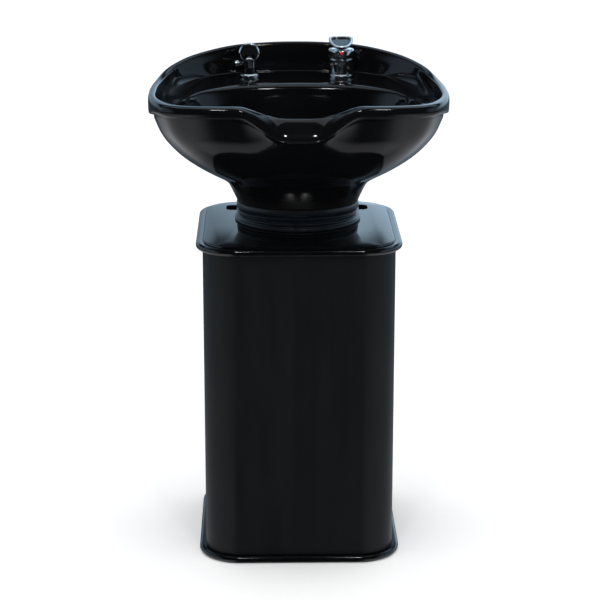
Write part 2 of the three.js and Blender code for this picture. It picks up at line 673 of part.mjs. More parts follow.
function mixerTurret() {
  const lowZ = MIXER_BODY_TOP_Z + GAP;
  const cap = turned([
    [0, lowZ], [TURRET_RADIUS - 1, lowZ], [TURRET_RADIUS, lowZ + 1], [TURRET_RADIUS, TURRET_TOP_Z - 3.5],
    [TURRET_RADIUS - 2.5, TURRET_TOP_Z - 1], [18, TURRET_TOP_Z], [0, TURRET_TOP_Z + 0.5],
  ], MIXER_X, FITTINGS_Y);
  const slotLow = LEVER_PIVOT_Z - 5;
  const slotFront = LEVER_PIVOT_Y - 5.5;
  const slot = box(MIXER_X - 5, MIXER_X + 5, slotFront, LEVER_PIVOT_Y + 9, slotLow, TURRET_TOP_Z + 5);
  return cut(cap, slot);
}

// The dished handle: narrow at the front, wide at the back, rising to the back.
function leverOutline(inset) {
  const shape = new THREE.Shape();
  const front = -27 + 1.2 * inset;
  const back = 34 - inset;
  const half = 26 - inset;
  const tip = 8 - 0.3 * inset;
  shape.moveTo(-tip, front);
  shape.bezierCurveTo(-tip - 8, front + 3, -half, 0, -half, 20);
  shape.bezierCurveTo(-half, back, -12, back, 0, back);
  shape.bezierCurveTo(12, back, half, back, half, 20);
  shape.bezierCurveTo(half, 0, tip + 8, front + 3, tip, front);
  shape.closePath();
  return shape;
}

function mixerLever() {
  const outside = slab(leverOutline(0), 0, LEVER_THICKNESS, 6);
  const dish = slab(leverOutline(6), LEVER_FLOOR, LEVER_THICKNESS + 1, 5);
  const handle = cut(outside, dish);
  handle.rotateX(Math.atan(LEVER_SLOPE));
  handle.translate(MIXER_X, FITTINGS_Y, LEVER_LOW_Z);
  const tongueTop = LEVER_LOW_Z - LEVER_SLOPE * (FITTINGS_Y - LEVER_PIVOT_Y) + 4;
  const tongueBack = LEVER_PIVOT_Y + 6;
  const tongue = box(MIXER_X - 4.5, MIXER_X + 4.5, LEVER_PIVOT_Y, tongueBack, LEVER_PIVOT_Z, tongueTop);
  const barrel = cylinderX(4.5, MIXER_X - 4.5, MIXER_X + 4.5, LEVER_PIVOT_Y, LEVER_PIVOT_Z, 16);
  return join(handle, tongue, barrel);
}

function mixerIndex() {
  const face = FITTINGS_Y - TURRET_RADIUS - GAP;
  return cylinderY(3.2, face - 1.4, face, MIXER_X, MIXER_BODY_TOP_Z + 13.5, 16);
}

// ---- spray --------------------------------------------------------------
const GUIDE_TOP_Z = 961;
const STEM_RADIUS = 9.5;
const GRIP_RADIUS = 14.3;
const COLLAR_LOW_Z = 976;
const COLLAR_TOP_Z = 988;
const COLLAR_RADIUS = 17.5;
const HEAD_Z = 992.5;
const HEAD_RADIUS = 22;
const HEAD_FRONT_Y = FITTINGS_Y - 13;
const HEAD_BACK_Y = FITTINGS_Y + 12;
const BUTTON_RADIUS = 3.2;
const BUTTON_HEAD_RADIUS = 6.2;
const BUTTON_Y = FITTINGS_Y - 3;
const BUTTON_Z = GUIDE_TOP_Z + 9;

function sprayGuide() {
  const inner = STEM_RADIUS + 0.5;
  return turned([
    [inner, 915], [SHANK_RADIUS, 915], [SHANK_RADIUS, MIXER_BASE_TOP_Z + GAP],
    [17, MIXER_BASE_TOP_Z + GAP], [15, GUIDE_TOP_Z], [inner, GUIDE_TOP_Z], [inner, 915],
  ], SPRAY_X, FITTINGS_Y, 24);
}

function handsetStem() {
  const crown = GUIDE_TOP_Z + GAP;
  const pocket = cylinderX(BUTTON_RADIUS + GAP, SPRAY_X - 30, SPRAY_X - 5, BUTTON_Y, BUTTON_Z, 12);
  const stem = turned([
    [0, 925], [STEM_RADIUS - 1, 925], [STEM_RADIUS, 930], [STEM_RADIUS, crown], [GRIP_RADIUS, crown],
    [GRIP_RADIUS, COLLAR_LOW_Z], [COLLAR_RADIUS, COLLAR_LOW_Z + 2], [COLLAR_RADIUS, COLLAR_LOW_Z + 4],
    [COLLAR_RADIUS - 6, COLLAR_TOP_Z - 1], [0, COLLAR_TOP_Z],
  ], SPRAY_X, FITTINGS_Y, 24);
  return cut(stem, pocket);
}

function handsetHead() {
  const drum = cylinderY(HEAD_RADIUS - 1.5, HEAD_FRONT_Y + 2, HEAD_BACK_Y, SPRAY_X, HEAD_Z, 24);
  const stemWay = cylinderZ(COLLAR_RADIUS + 0.6, 960, COLLAR_TOP_Z + GAP, SPRAY_X, FITTINGS_Y, 24);
  return cut(drum, stemWay);
}

function handsetRing() {
  const outside = cylinderY(HEAD_RADIUS, HEAD_FRONT_Y - 3, HEAD_FRONT_Y + 1.7, SPRAY_X, HEAD_Z, 24);
  const hole = cylinderY(HEAD_RADIUS - 4, HEAD_FRONT_Y - 4, HEAD_FRONT_Y + 3, SPRAY_X, HEAD_Z, 24);
  const crownWay = cylinderZ(COLLAR_RADIUS + 0.6, 960, COLLAR_TOP_Z + GAP, SPRAY_X, FITTINGS_Y, 24);
  return cut(outside, hole, crownWay);
}

function handsetFace() {
  const plateFront = HEAD_FRONT_Y - 1.5;
  const disc = cylinderY(HEAD_RADIUS - 4.3, plateFront, HEAD_FRONT_Y + 1.7, SPRAY_X, HEAD_Z, 24);
  const crownWay = cylinderZ(COLLAR_RADIUS + 0.6, 960, COLLAR_TOP_Z + GAP, SPRAY_X, FITTINGS_Y, 24);
  return cut(disc, crownWay);
}

function flowButton() {
  const shaft = cylinderX(BUTTON_RADIUS, SPRAY_X - 25, SPRAY_X - 10, BUTTON_Y, BUTTON_Z, 12);
  const knob = cylinderX(BUTTON_HEAD_RADIUS, SPRAY_X - 31, SPRAY_X - 21, BUTTON_Y, BUTTON_Z, 16);
  return join(shaft, knob);
}

// ---- bellows and hoses --------------------------------------------------
const BELLOWS_RIDGES = 2;
const BELLOWS_WALL = 3.5;
const BELLOWS_FLANGE_RADIUS = 131;

// A flange on the plate, folds above it, and a band round the neck's spigot.
function bellows() {
  const base = PANEL_TOP_Z + GAP;
  const bandLow = NECK_BOTTOM_Z - 2.5;
  const bandHigh = NECK_BOTTOM_Z + SPIGOT_HEIGHT - 0.8;
  const foldStart = base + 8;
  const foldHeight = (bandLow - foldStart) / BELLOWS_RIDGES;
  const outer = [[BELLOWS_FLANGE_RADIUS, base], [BELLOWS_FLANGE_RADIUS, foldStart - 2]];
  const folds = [];
  for (let i = 0; i < BELLOWS_RIDGES; i += 1) {
    const z = foldStart + i * foldHeight;
    folds.push([121.5, z], [127.5, z + 0.5 * foldHeight]);
  }
  const inner = folds.map(([radius, z]) => [radius - BELLOWS_WALL, z]).reverse();
  outer.push(...folds, [122, bandLow - 0.5], [127, bandLow + 0.5], [127, bandHigh]);
  const socket = SPIGOT_RADIUS + 2;
  const shelf = NECK_BOTTOM_Z - 1;
  const closing = [[socket, bandHigh], [socket, shelf], [118, shelf - 2]];
  const profile = [...outer, ...closing, ...inner, [122, base], outer[0]];
  const sleeve = turned(profile, 0, NECK_Y, 28);
  const positions = sleeve.attributes.position;
  for (let v = 0; v < positions.count; v += 1) {
    const share = Math.min(1, Math.max(0, (positions.getZ(v) - foldStart) / (bandLow - foldStart)));
    positions.setZ(v, positions.getZ(v) - share * NECK_TILT * (positions.getY(v) - NECK_Y));
  }
  return sleeve;
}

const CONNECTOR_Z = 215;
const CONNECTOR_Y = 122;
const CONNECTOR_TOP_Z = 240;
const RAIL_LOW_Z = 190;
const TRAP_X = -48;
const TRAP_Y = 40;
const TRAP_TOP_Z = 400;
const WASTE_Y = 112;
const WASTE_RADIUS = 17;

function connectorX(side) {
  return 60 + side * 24;
}

function supplyHose(side) {
  const topX = MIXER_X + side * 6;
  const topY = FITTINGS_Y - 4;
  const endX = connectorX(side);
  return rod([
    [topX, topY, SHANK_BOTTOM_Z - GAP], [topX, topY, SHANK_BOTTOM_Z - 16],
    [91 + side * 8, 183, 850], [74 + side * 8, 162, 800], [55 + side * 8, 133, 750],
    [51 + side * 7, 124, 700], [50 + side * 7, 119, 640], [52 + side * 14, 128, 500],
    [endX, 130, 380], [endX, CONNECTOR_Y, 300], [endX, CONNECTOR_Y, CONNECTOR_TOP_Z + 20],
    [endX, CONNECTOR_Y, CONNECTOR_TOP_Z + GAP],
  ], 5, 3, 32);
}

function connectorUnion(side) {
  const x = connectorX(side);
  const lowZ = CONNECTOR_Z - 25;
  return turned([
    [0, lowZ], [7, lowZ], [7, CONNECTOR_Z], [11, CONNECTOR_Z], [11, CONNECTOR_Z + 12],
    [8, CONNECTOR_Z + 14], [8, CONNECTOR_TOP_Z], [0, CONNECTOR_TOP_Z],
  ], x, CONNECTOR_Y, 12);
}

function connectorPlate() {
  const flat = box(-96, 96, 108, POST_BACK_Y - 10 - GAP, CONNECTOR_Z - 4, CONNECTOR_Z - 1);
  const ways = [-1, 1].map((side) => (
    cylinderZ(7.6, CONNECTOR_Z - 6, CONNECTOR_Z + 1, connectorX(side), CONNECTOR_Y, 12)));
  const wasteWay = cylinderZ(WASTE_RADIUS + 3, CONNECTOR_Z - 6, CONNECTOR_Z + 1, TRAP_X, WASTE_Y, 24);
  const upstand = box(-96, 96, POST_BACK_Y - 13 - GAP, POST_BACK_Y - 10 - GAP, RAIL_LOW_Z, CONNECTOR_Z - 2);
  return cut(join(flat, upstand), ...ways, wasteWay);
}

function sprayHose() {
  return rod([
    [MIXER_X, FITTINGS_Y + 8, SHANK_BOTTOM_Z - GAP], [MIXER_X, FITTINGS_Y + 8, SHANK_BOTTOM_Z - 16],
    [83, 197, 850], [60, 179, 800], [30, 146, 750], [24, 136, 700], [22, 126, 640], [20, 80, 560],
    [-6, 62, 505], [-34, 80, 560], [-44, 126, 640], [-46, 133, 700], [-56, 146, 750],
    [-80, 173, 805], [SPRAY_X + 3, FITTINGS_Y - 4, 860], [SPRAY_X, FITTINGS_Y, 905],
    [SPRAY_X, FITTINGS_Y, 925 - GAP],
  ], 5, 3, 52);
}

function drainHose() {
  const path = [
    [0, FLOOR_CENTRE_Y, DRAIN_TAIL_BOTTOM_Z + 14], [0, FLOOR_CENTRE_Y, 690], [-6, FLOOR_CENTRE_Y, 640],
    [-50, 25, 560], [-58, 30, 500], [TRAP_X, TRAP_Y, 430], [TRAP_X, TRAP_Y, TRAP_TOP_Z + GAP],
  ];
  const outside = rod(path, 26, 5, 14);
  const curve = path.map(([x, y, z], i) => [x, y, z + (i === 0 ? 2 : 0) - (i === path.length - 1 ? 2 : 0)]);
  const inside = rod(curve, DRAIN_TAIL_RADIUS + 1.4, 5, 14);
  return cut(outside, inside);
}

function wasteTrap() {
  const bottle = turned([
    [0, 290], [30, 290], [32, 296], [32, 380], [28, 386], [22, 388], [22, TRAP_TOP_Z], [0, TRAP_TOP_Z],
  ], TRAP_X, TRAP_Y, 24);
  const inlet = cylinderZ(18, 330, TRAP_TOP_Z + 1, TRAP_X, TRAP_Y, 24);
  const outlet = rod([
    [TRAP_X, TRAP_Y + 28, 360], [TRAP_X, 90, 360], [TRAP_X, 106, 354], [TRAP_X, WASTE_Y, 338],
    [TRAP_X, WASTE_Y, 200], [TRAP_X, WASTE_Y, 60],
  ], WASTE_RADIUS, 5, 10);
  const outletBore = rod([
    [TRAP_X, TRAP_Y, 360], [TRAP_X, 90, 360], [TRAP_X, 106, 354], [TRAP_X, WASTE_Y, 338],
    [TRAP_X, WASTE_Y, 200], [TRAP_X, WASTE_Y, 55],
  ], WASTE_RADIUS - 4, 5, 10);
  return cut(join(bottle, outlet), inlet, outletBore);
}

// ---- assembly -----------------------------------------------------------
add('base_plate', basePlate(), 'plateBlack');
add('cabinet_shell', shell(), 'satinBlack');
add('rear_panel', rearPanel(), 'satinBlack');
['left', 'right'].forEach((sideName, i) => {
  const side = i === 0 ? -1 : 1;
  REAR_SCREW_ZS.forEach((z, level) => {
    const levelName = ['low', 'mid', 'high'][level];
    add(`rear_screw_${sideName}_${levelName}`, rearScrew(side * REAR_SCREW_X, z), 'zincSteel');
  });
});
add('top_plate', topPlate(), 'plateBlack');
add('post_front_left', post(-POST_X, POST_FRONT_Y), 'paintedSteel');
add('post_front_right', post(POST_X, POST_FRONT_Y), 'paintedSteel');
add('post_back_left', post(-POST_X, POST_BACK_Y), 'paintedSteel');
add('post_back_right', post(POST_X, POST_BACK_Y), 'paintedSteel');
add('frame_plate', framePlate(), 'paintedSteel');
add('cross_rail', crossRail(RAIL_LOW_Z), 'paintedSteel');
add('connector_plate', connectorPlate(), 'zincSteel');
add('connector_hot', connectorUnion(-1), 'brass');
add('connector_cold', connectorUnion(1), 'brass');
add('waste_trap', wasteTrap(), 'whitePlastic');
[-1, 1].forEach((side) => {
  const sideName = side < 0 ? 'left' : 'right';
  add(`tilt_bracket_${sideName}`, lowerBracket(side), 'paintedSteel');
  add(`pivot_bolt_${sideName}`, pivotBolt(side), 'zincSteel');
  add(`pivot_washer_${sideName}`, pivotWasher(side), 'rubberBlack');
  add(`pivot_nut_${sideName}`, pivotNut(side), 'zincSteel');
});
add('bellows', bellows(), 'rubberBlack');
add('drain_hose', drainHose(), 'greyHose');
add('hot_hose', supplyHose(-1), 'braid');
add('cold_hose', supplyHose(1), 'braid');

add('bowl', bowl(), 'glossBlack');
add('tilt_yoke', tiltYoke(), 'paintedSteel');
const gasketLow = YOKE_TOP_Z + GAP;
const gasketHigh = BASIN_UNDER_Z - GAP;
add('drain_gasket', ring(DRAIN_HOLE_RADIUS + 1, 48, gasketLow, gasketHigh, 0, FLOOR_CENTRE_Y), 'rubberBlack');
const yokeLow = YOKE_TOP_Z - YOKE_THICKNESS - GAP;
add('drain_nut', hexNut(DRAIN_TAIL_RADIUS + 0.6, 34, yokeLow - 10, yokeLow, 0, FLOOR_CENTRE_Y), 'brass');
add('drain_flange', drainFlange(), 'chrome');
add('drain_strainer', drainStrainer(), 'chrome');
add('mixer_base_ring', deckFlange(SHANK_RADIUS + 0.4, 28, MIXER_BASE_TOP_Z, MIXER_X), 'chrome');
add('mixer_body', mixerBody(), 'chrome');
add('mixer_washer', underDeckWasher(MIXER_X), 'rubberBlack');
add('mixer_nut', hexNut(SHANK_RADIUS + 0.6, 25, 915, 925 - GAP, MIXER_X, FITTINGS_Y), 'brass');
add('mixer_turret', mixerTurret(), 'chrome');
add('mixer_index', mixerIndex(), 'redPlastic');
add('mixer_lever', mixerLever(), 'chrome');
add('spray_flange', deckFlange(SHANK_RADIUS + 0.4, 23, MIXER_BASE_TOP_Z, SPRAY_X), 'chrome');
add('spray_guide', sprayGuide(), 'glossBlack');
add('spray_washer', underDeckWasher(SPRAY_X), 'rubberBlack');
add('spray_nut', hexNut(SHANK_RADIUS + 0.6, 24, 916, 925 - GAP, SPRAY_X, FITTINGS_Y), 'brass');
add('handset_stem', handsetStem(), 'chrome');
add('handset_head', handsetHead(), 'glossBlack');
add('handset_ring', handsetRing(), 'chrome');
add('handset_face', handsetFace(), 'satinBlack');
add('flow_button', flowButton(), 'chrome');
add('spray_hose', sprayHose(), 'braid');

export default unit;
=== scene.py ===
# Shampoo backwash unit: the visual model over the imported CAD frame.
# Shapes are worked out in millimetres, as in the CAD, and turned into metres when a mesh is made.
import json
import math
import bmesh
import bpy
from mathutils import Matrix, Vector


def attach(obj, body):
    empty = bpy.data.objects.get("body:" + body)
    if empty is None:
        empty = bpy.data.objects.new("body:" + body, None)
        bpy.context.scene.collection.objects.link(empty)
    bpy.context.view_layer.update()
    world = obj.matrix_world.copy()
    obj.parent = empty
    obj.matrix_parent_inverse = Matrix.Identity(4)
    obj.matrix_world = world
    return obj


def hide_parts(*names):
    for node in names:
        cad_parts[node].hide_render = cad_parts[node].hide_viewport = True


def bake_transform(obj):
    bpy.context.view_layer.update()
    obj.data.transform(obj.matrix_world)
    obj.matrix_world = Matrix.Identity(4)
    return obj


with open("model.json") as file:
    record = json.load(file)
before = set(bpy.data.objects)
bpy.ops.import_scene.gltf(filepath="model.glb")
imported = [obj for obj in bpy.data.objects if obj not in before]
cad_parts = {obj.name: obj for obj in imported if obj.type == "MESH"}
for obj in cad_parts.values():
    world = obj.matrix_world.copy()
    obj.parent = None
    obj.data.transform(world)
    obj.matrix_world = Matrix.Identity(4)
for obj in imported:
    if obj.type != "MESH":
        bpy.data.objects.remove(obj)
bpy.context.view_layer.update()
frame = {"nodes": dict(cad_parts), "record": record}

MM = 0.001
TURN = 2 * math.pi

# ---- sizes shared with the CAD, in millimetres -----------------------------
GAP = 0.3
PLATE_WIDTH = 415
PLATE_DEPTH = 432
PLATE_CORNER = 86
PLATE_RIM = 14
PANEL_INSET = 15
PANEL_RISE = 4
TOP_PLATE_Z = 650
PANEL_TOP_Z = TOP_PLATE_Z + PLATE_RIM + PANEL_RISE
SLOT_INNER_X = 96
SLOT_OUTER_X = 151
SLOT_Y = 143
SLOT_WIDTH = 46
ANCHOR_OFFSET = 150
ANCHOR_HOLE_RADIUS = 6
PIPE_WAY_Y = 55
SHELL_WIDTH = 388
SHELL_DEPTH = 407
SHELL_CORNER = 71
SHELL_WALL = 3
REAR_OPENING = 220
REAR_OPENING_LOW_Z = 55
REAR_OPENING_HIGH_Z = 595
REAR_NOTCH = 120
REAR_NOTCH_TOP_Z = 70
NECK_Y = 47
NECK_TILT = 0.05
NECK_BOTTOM_Z = 695
NECK_RADIUS = 124
NECK_OPENING_RADIUS = 112
SPIGOT_RADIUS = 118.5
SPIGOT_HEIGHT = 12
BOWL_WALL = 8
RIM_Z = 954
RIM_BACK_START_Y = 98
RIM_BACK_SLOPE = 0.33
RIM_BACK_BLEND = 60
BAND_HEIGHT_FRONT = 24
BAND_HEIGHT_SIDE = 46
RIM_WIDTH_FRONT = 23
RIM_WIDTH_SIDE = 14
NECK_CUT_HALF_FLOOR = 20
NECK_CUT_HALF_TOP = 125
NECK_CUT_LIP_DROP = 59
NECK_CUT_RIDGE_DROP = 26
NECK_CUT_ROUNDING = 1.25
NECK_CUT_RIDGE_WIDENING = 0.75
NECK_CUT_SLOPE_WIDTH = 36
NECK_CUT_BAND_LOSS = 0.55
INNER_WALL_WIDTH = 22
MIN_SHELF = 4
DECK_EDGE_Y = 124
DECK_EDGE_Z = 934
DECK_SLOPE = 0.113
FLOOR_CENTRE_Y = 40
BASIN_FLOOR_Z = 787
BASIN_FLOOR_RADIUS = 60
DRAIN_SEAT_Z = 782
DRAIN_SEAT_RADIUS = 37
DRAIN_HOLE_RADIUS = 25
BASIN_UNDER_Z = 772
MIXER_X = 95
SHANK_BOTTOM_Z = 896
SHANK_RADIUS = 16
TURRET_TOP_Z = 1001.5
LEVER_SLOPE = 0.26
LEVER_LOW_Z = 1008.8
LEVER_FLOOR = 2.5
SPRAY_X = -100
FITTINGS_Y = 197
HANDSET_BOTTOM_Z = 925
HOSE_RADIUS = 5
CONNECTOR_Y = 122
CONNECTOR_TOP_Z = 240
TRAP_X = -48
TRAP_Y = 40
TRAP_TOP_Z = 400
BELLOWS_RIDGES = 2
BELLOWS_WALL = 3.5
BELLOWS_FLANGE_RADIUS = 131


# ---- camera ----------------------------------------------------------------
def make_camera():
    data = bpy.data.cameras.new("camera")
    data.lens = 117.4
    data.sensor_width = 36.0
    data.shift_x = 0.0035
    data.clip_end = 50.0
    camera = bpy.data.objects.new("camera", data)
    bpy.context.collection.objects.link(camera)
    camera.location = (-0.069, -3.939, 1.617)
    camera.rotation_euler = (math.radians(90 - 15.8), 0.0, math.radians(-1.0))
    bpy.context.scene.camera = camera


make_camera()


# ---- node helpers ----------------------------------------------------------
def new_material(name):
    material = bpy.data.materials.new(name)
    material.use_nodes = True
    nodes = material.node_tree.nodes
    shader = nodes["Principled BSDF"]
    return material, nodes, material.node_tree.links, shader


def noise(nodes, links, scale, detail=3.0, stretch=(1.0, 1.0, 1.0)):
    """A noise texture in object space, stretched along the axes."""
    place = nodes.new("ShaderNodeTexCoord")
    mapping = nodes.new("ShaderNodeMapping")
    mapping.inputs["Scale"].default_value = stretch
    texture = nodes.new("ShaderNodeTexNoise")
    texture.inputs["Scale"].default_value = scale
    texture.inputs["Detail"].default_value = detail
    links.new(place.outputs["Object"], mapping.inputs["Vector"])
    links.new(mapping.outputs["Vector"], texture.inputs["Vector"])
    return texture.outputs["Fac"]


def map_range(nodes, links, source, low, high, from_low, from_high, kind):
    node = nodes.new("ShaderNodeMapRange")
    node.interpolation_type = kind
    node.inputs["From Min"].default_value = from_low
    node.inputs["From Max"].default_value = from_high
    node.inputs["To Min"].default_value = low
    node.inputs["To Max"].default_value = high
    links.new(source, node.inputs["Value"])
    return node.outputs["Result"]


def spread(nodes, links, source, low, high):
    """Spreads the middle of a noise texture's values from low to high."""
    return map_range(nodes, links, source, low, high, 0.3, 0.7, "LINEAR")


def ramp(nodes, links, source, low, high, from_low, from_high):
    """Goes smoothly from low to high as the source goes from from_low to from_high."""
    return map_range(nodes, links, source, low, high, from_low, from_high, "SMOOTHSTEP")


def axis_parts(nodes, links, vector):
    """The X, Y and Z outputs of a vector."""
    parts = nodes.new("ShaderNodeSeparateXYZ")
    links.new(vector, parts.inputs["Vector"])
    return parts.outputs


def arithmetic(nodes, links, operation, first, second):
    node = nodes.new("ShaderNodeMath")
    node.operation = operation
    links.new(first, node.inputs[0])
    links.new(second, node.inputs[1])
    return node.outputs["Value"]


def multiply(nodes, links, first, second):
    return arithmetic(nodes, links, "MULTIPLY", first, second)


def add(nodes, links, first, second):
    return arithmetic(nodes, links, "ADD", first, second)


def two_tone(nodes, links, source, dark, light):
    node = nodes.new("ShaderNodeMix")
    node.data_type = "RGBA"
    node.inputs["A"].default_value = (*dark, 1.0)
    node.inputs["B"].default_value = (*light, 1.0)
    links.new(source, node.inputs["Factor"])
    return node.outputs["Result"]


def bump(nodes, links, shader, height, strength, distance):
    node = nodes.new("ShaderNodeBump")
    node.inputs["Strength"].default_value = strength
    node.inputs["Distance"].default_value = distance
    links.new(height, node.inputs["Height"])
    links.new(node.outputs["Normal"], shader.inputs["Normal"])


# ---- materials -------------------------------------------------------------
def gloss_black():
    """Polished black moulding: deep gloss, a trace of orange peel, and a dull neck low down."""
    material, nodes, links, shader = new_material("bowl_gloss_black")
    shader.inputs["IOR"].default_value = 1.5
    shader.inputs["Specular IOR Level"].default_value = 0.5
    clouds = noise(nodes, links, 7.0)
    links.new(two_tone(nodes, links, clouds, (0.0014, 0.0015, 0.0019), (0.0028, 0.003, 0.0036)),
              shader.inputs["Base Color"])
    place = nodes.new("ShaderNodeTexCoord").outputs["Object"]
    dull_neck = ramp(nodes, links, axis_parts(nodes, links, place)["Z"], 0.35, 0.0, 0.71, 0.76)
    polish = spread(nodes, links, noise(nodes, links, 11.0, 5.0), 0.06, 0.11)
    links.new(add(nodes, links, polish, dull_neck), shader.inputs["Roughness"])
    bump(nodes, links, shader, noise(nodes, links, 70.0, 2.0), 0.02, 0.001)
    return material


def satin_black():
    """Fine-grained satin black panels with faint vertical rubbing marks."""
    material, nodes, links, shader = new_material("cabinet_satin_black")
    shader.inputs["Specular IOR Level"].default_value = 0.35
    clouds = noise(nodes, links, 5.0)
    links.new(two_tone(nodes, links, clouds, (0.0026, 0.0036, 0.0046), (0.0040, 0.0052, 0.0064)),
              shader.inputs["Base Color"])
    rubbed = noise(nodes, links, 14.0, 6.0, (3.0, 3.0, 0.4))
    links.new(spread(nodes, links, rubbed, 0.30, 0.42), shader.inputs["Roughness"])
    bump(nodes, links, shader, noise(nodes, links, 900.0, 2.0), 0.08, 0.0002)
    return material


def plate_black():
    """Glossy black mouldings of the top and base plates, slightly wavy."""
    material, nodes, links, shader = new_material("plate_gloss_black")
    clouds = noise(nodes, links, 6.0)
    links.new(two_tone(nodes, links, clouds, (0.0008, 0.0010, 0.0013), (0.0014, 0.0018, 0.0022)),
              shader.inputs["Base Color"])
    shader.inputs["Specular IOR Level"].default_value = 0.8
    links.new(spread(nodes, links, noise(nodes, links, 13.0, 5.0), 0.07, 0.12), shader.inputs["Roughness"])
    bump(nodes, links, shader, noise(nodes, links, 60.0, 2.0), 0.03, 0.001)
    return material


def rubber(name, dark, light, low, high):
    """Dusty rubber, from the dark to the light colour and from the low to the high roughness."""
    material, nodes, links, shader = new_material(name)
    shader.inputs["Specular IOR Level"].default_value = 0.45
    dust = noise(nodes, links, 30.0, 6.0)
    links.new(two_tone(nodes, links, dust, dark, light), shader.inputs["Base Color"])
    links.new(spread(nodes, links, dust, low, high), shader.inputs["Roughness"])
    bump(nodes, links, shader, noise(nodes, links, 400.0, 3.0), 0.15, 0.0003)
    return material


def paint_dish_shade(nodes, links, plating):
    """Paints shade over the plating inside the lever's dish, found by its height above the sloping
    underside.
    """
    place = nodes.new("ShaderNodeTexCoord").outputs["Object"]
    parts = axis_parts(nodes, links, place)
    tilt = math.atan(LEVER_SLOPE)
    height = nodes.new("ShaderNodeVectorMath")
    height.operation = "DOT_PRODUCT"
    height.inputs[1].default_value = (0.0, -math.sin(tilt), math.cos(tilt))
    links.new(place, height.inputs[0])
    underside = (LEVER_LOW_Z * math.cos(tilt) - FITTINGS_Y * math.sin(tilt)) * MM
    floor_top = underside + (LEVER_FLOOR + 0.4) * MM
    below_rim = ramp(nodes, links, height.outputs["Value"], 1.0, 0.0, floor_top, floor_top + 1.5 * MM)
    on_lever = ramp(nodes, links, parts["X"], 0.0, 1.0, 0.05, 0.06)
    turret_top = TURRET_TOP_Z * MM
    above_turret = ramp(nodes, links, parts["Z"], 0.0, 1.0, turret_top, turret_top + 2 * MM)
    # Mask of the painted shade: the dish's floor, on the lever, above the turret.
    dish_shade = multiply(nodes, links, below_rim, multiply(nodes, links, on_lever, above_turret))
    mixed = nodes.new("ShaderNodeMix")
    mixed.data_type = "RGBA"
    # Colour of the painted shade, a dim grey laid over the plating in the dish.
    mixed.inputs["B"].default_value = (0.10, 0.11, 0.12, 1.0)
    links.new(dish_shade, mixed.inputs["Factor"])
    links.new(plating, mixed.inputs["A"])
    return mixed.outputs["Result"]


def chrome():
    """Bright plating with faint smears, and painted shade inside the lever's dish."""
    material, nodes, links, shader = new_material("chrome_trim")
    shader.inputs["Metallic"].default_value = 1.0
    smears = noise(nodes, links, 40.0, 5.0)
    plating = two_tone(nodes, links, smears, (0.80, 0.82, 0.85), (0.90, 0.91, 0.93))
    links.new(paint_dish_shade(nodes, links, plating), shader.inputs["Base Color"])
    links.new(spread(nodes, links, smears, 0.03, 0.09), shader.inputs["Roughness"])
    bump(nodes, links, shader, noise(nodes, links, 120.0, 2.0), 0.01, 0.0005)
    return material


def metal(name, dark, light, low, high):
    """Plain metal with cloudy marks in its colour and its roughness."""
    material, nodes, links, shader = new_material(name)
    shader.inputs["Metallic"].default_value = 1.0
    marks = noise(nodes, links, 90.0, 6.0)
    links.new(two_tone(nodes, links, marks, dark, light), shader.inputs["Base Color"])
    links.new(spread(nodes, links, marks, low, high), shader.inputs["Roughness"])
    bump(nodes, links, shader, marks, 0.05, 0.0003)
    return material


def plastic(name, dark, light, low, high):
    """Plastic or paint with soft clouds of colour and a fine grain."""
    material, nodes, links, shader = new_material(name)
    clouds = noise(nodes, links, 25.0, 4.0)
    links.new(two_tone(nodes, links, clouds, dark, light), shader.inputs["Base Color"])
    links.new(spread(nodes, links, clouds, low, high), shader.inputs["Roughness"])
    bump(nodes, links, shader, noise(nodes, links, 300.0, 2.0), 0.06, 0.0003)
    return material


def braid():
    """Woven stainless braid, as rows of small bright bricks with dark gaps."""
    material, nodes, links, shader = new_material("braided_hose")
    shader.inputs["Metallic"].default_value = 0.9
    place = nodes.new("ShaderNodeTexCoord")
    crossing = nodes.new("ShaderNodeTexBrick")
    crossing.inputs["Scale"].default_value = 420.0
    crossing.inputs["Mortar Size"].default_value = 0.03
    links.new(place.outputs["Object"], crossing.inputs["Vector"])
    links.new(two_tone(nodes, links, crossing.outputs["Fac"], (0.62, 0.64, 0.66), (0.22, 0.23, 0.24)),
              shader.inputs["Base Color"])
    links.new(spread(nodes, links, noise(nodes, links, 60.0), 0.25, 0.45), shader.inputs["Roughness"])
    bump(nodes, links, shader, crossing.outputs["Fac"], 0.4, 0.0004)
    return material


MATERIALS = {
    "bowl_gloss_black": gloss_black(),
    "plate_gloss_black": plate_black(),
    "cabinet_satin_black": satin_black(),
    "bellows_rubber": rubber("bellows_rubber", (0.0035, 0.0055, 0.0085), (0.006, 0.009, 0.013), 0.25, 0.38),
    "seal_rubber": rubber("seal_rubber", (0.010, 0.011, 0.012), (0.020, 0.022, 0.024), 0.5, 0.7),
    "chrome_trim": chrome(),
    "index_red": plastic("index_red", (0.55, 0.01, 0.02), (0.72, 0.02, 0.04), 0.12, 0.22),
    "frame_paint": plastic("frame_paint", (0.012, 0.013, 0.015), (0.028, 0.03, 0.033), 0.4, 0.6),
    "zinc_fasteners": metal("zinc_fasteners", (0.48, 0.50, 0.47), (0.66, 0.67, 0.62), 0.25, 0.45),
    "brass_fittings": metal("brass_fittings", (0.55, 0.40, 0.14), (0.74, 0.56, 0.24), 0.2, 0.4),
    "braided_hose": braid(),
    "waste_hose": plastic("waste_hose", (0.24, 0.25, 0.26), (0.33, 0.34, 0.35), 0.45, 0.6),
    "trap_plastic": plastic("trap_plastic", (0.66, 0.66, 0.63), (0.76, 0.76, 0.74), 0.3, 0.45),
}


# ---- mesh helpers ----------------------------------------------------------
def finish_soft(piece, slot_name, nodes):
    """Gives a piece its material and smooth shading, and hides the CAD nodes that it stands for."""
    piece.data.materials.clear()
    piece.data.materials.append(MATERIALS[slot_name])
    for polygon in piece.data.polygons:
        polygon.use_smooth = True
    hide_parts(*nodes)


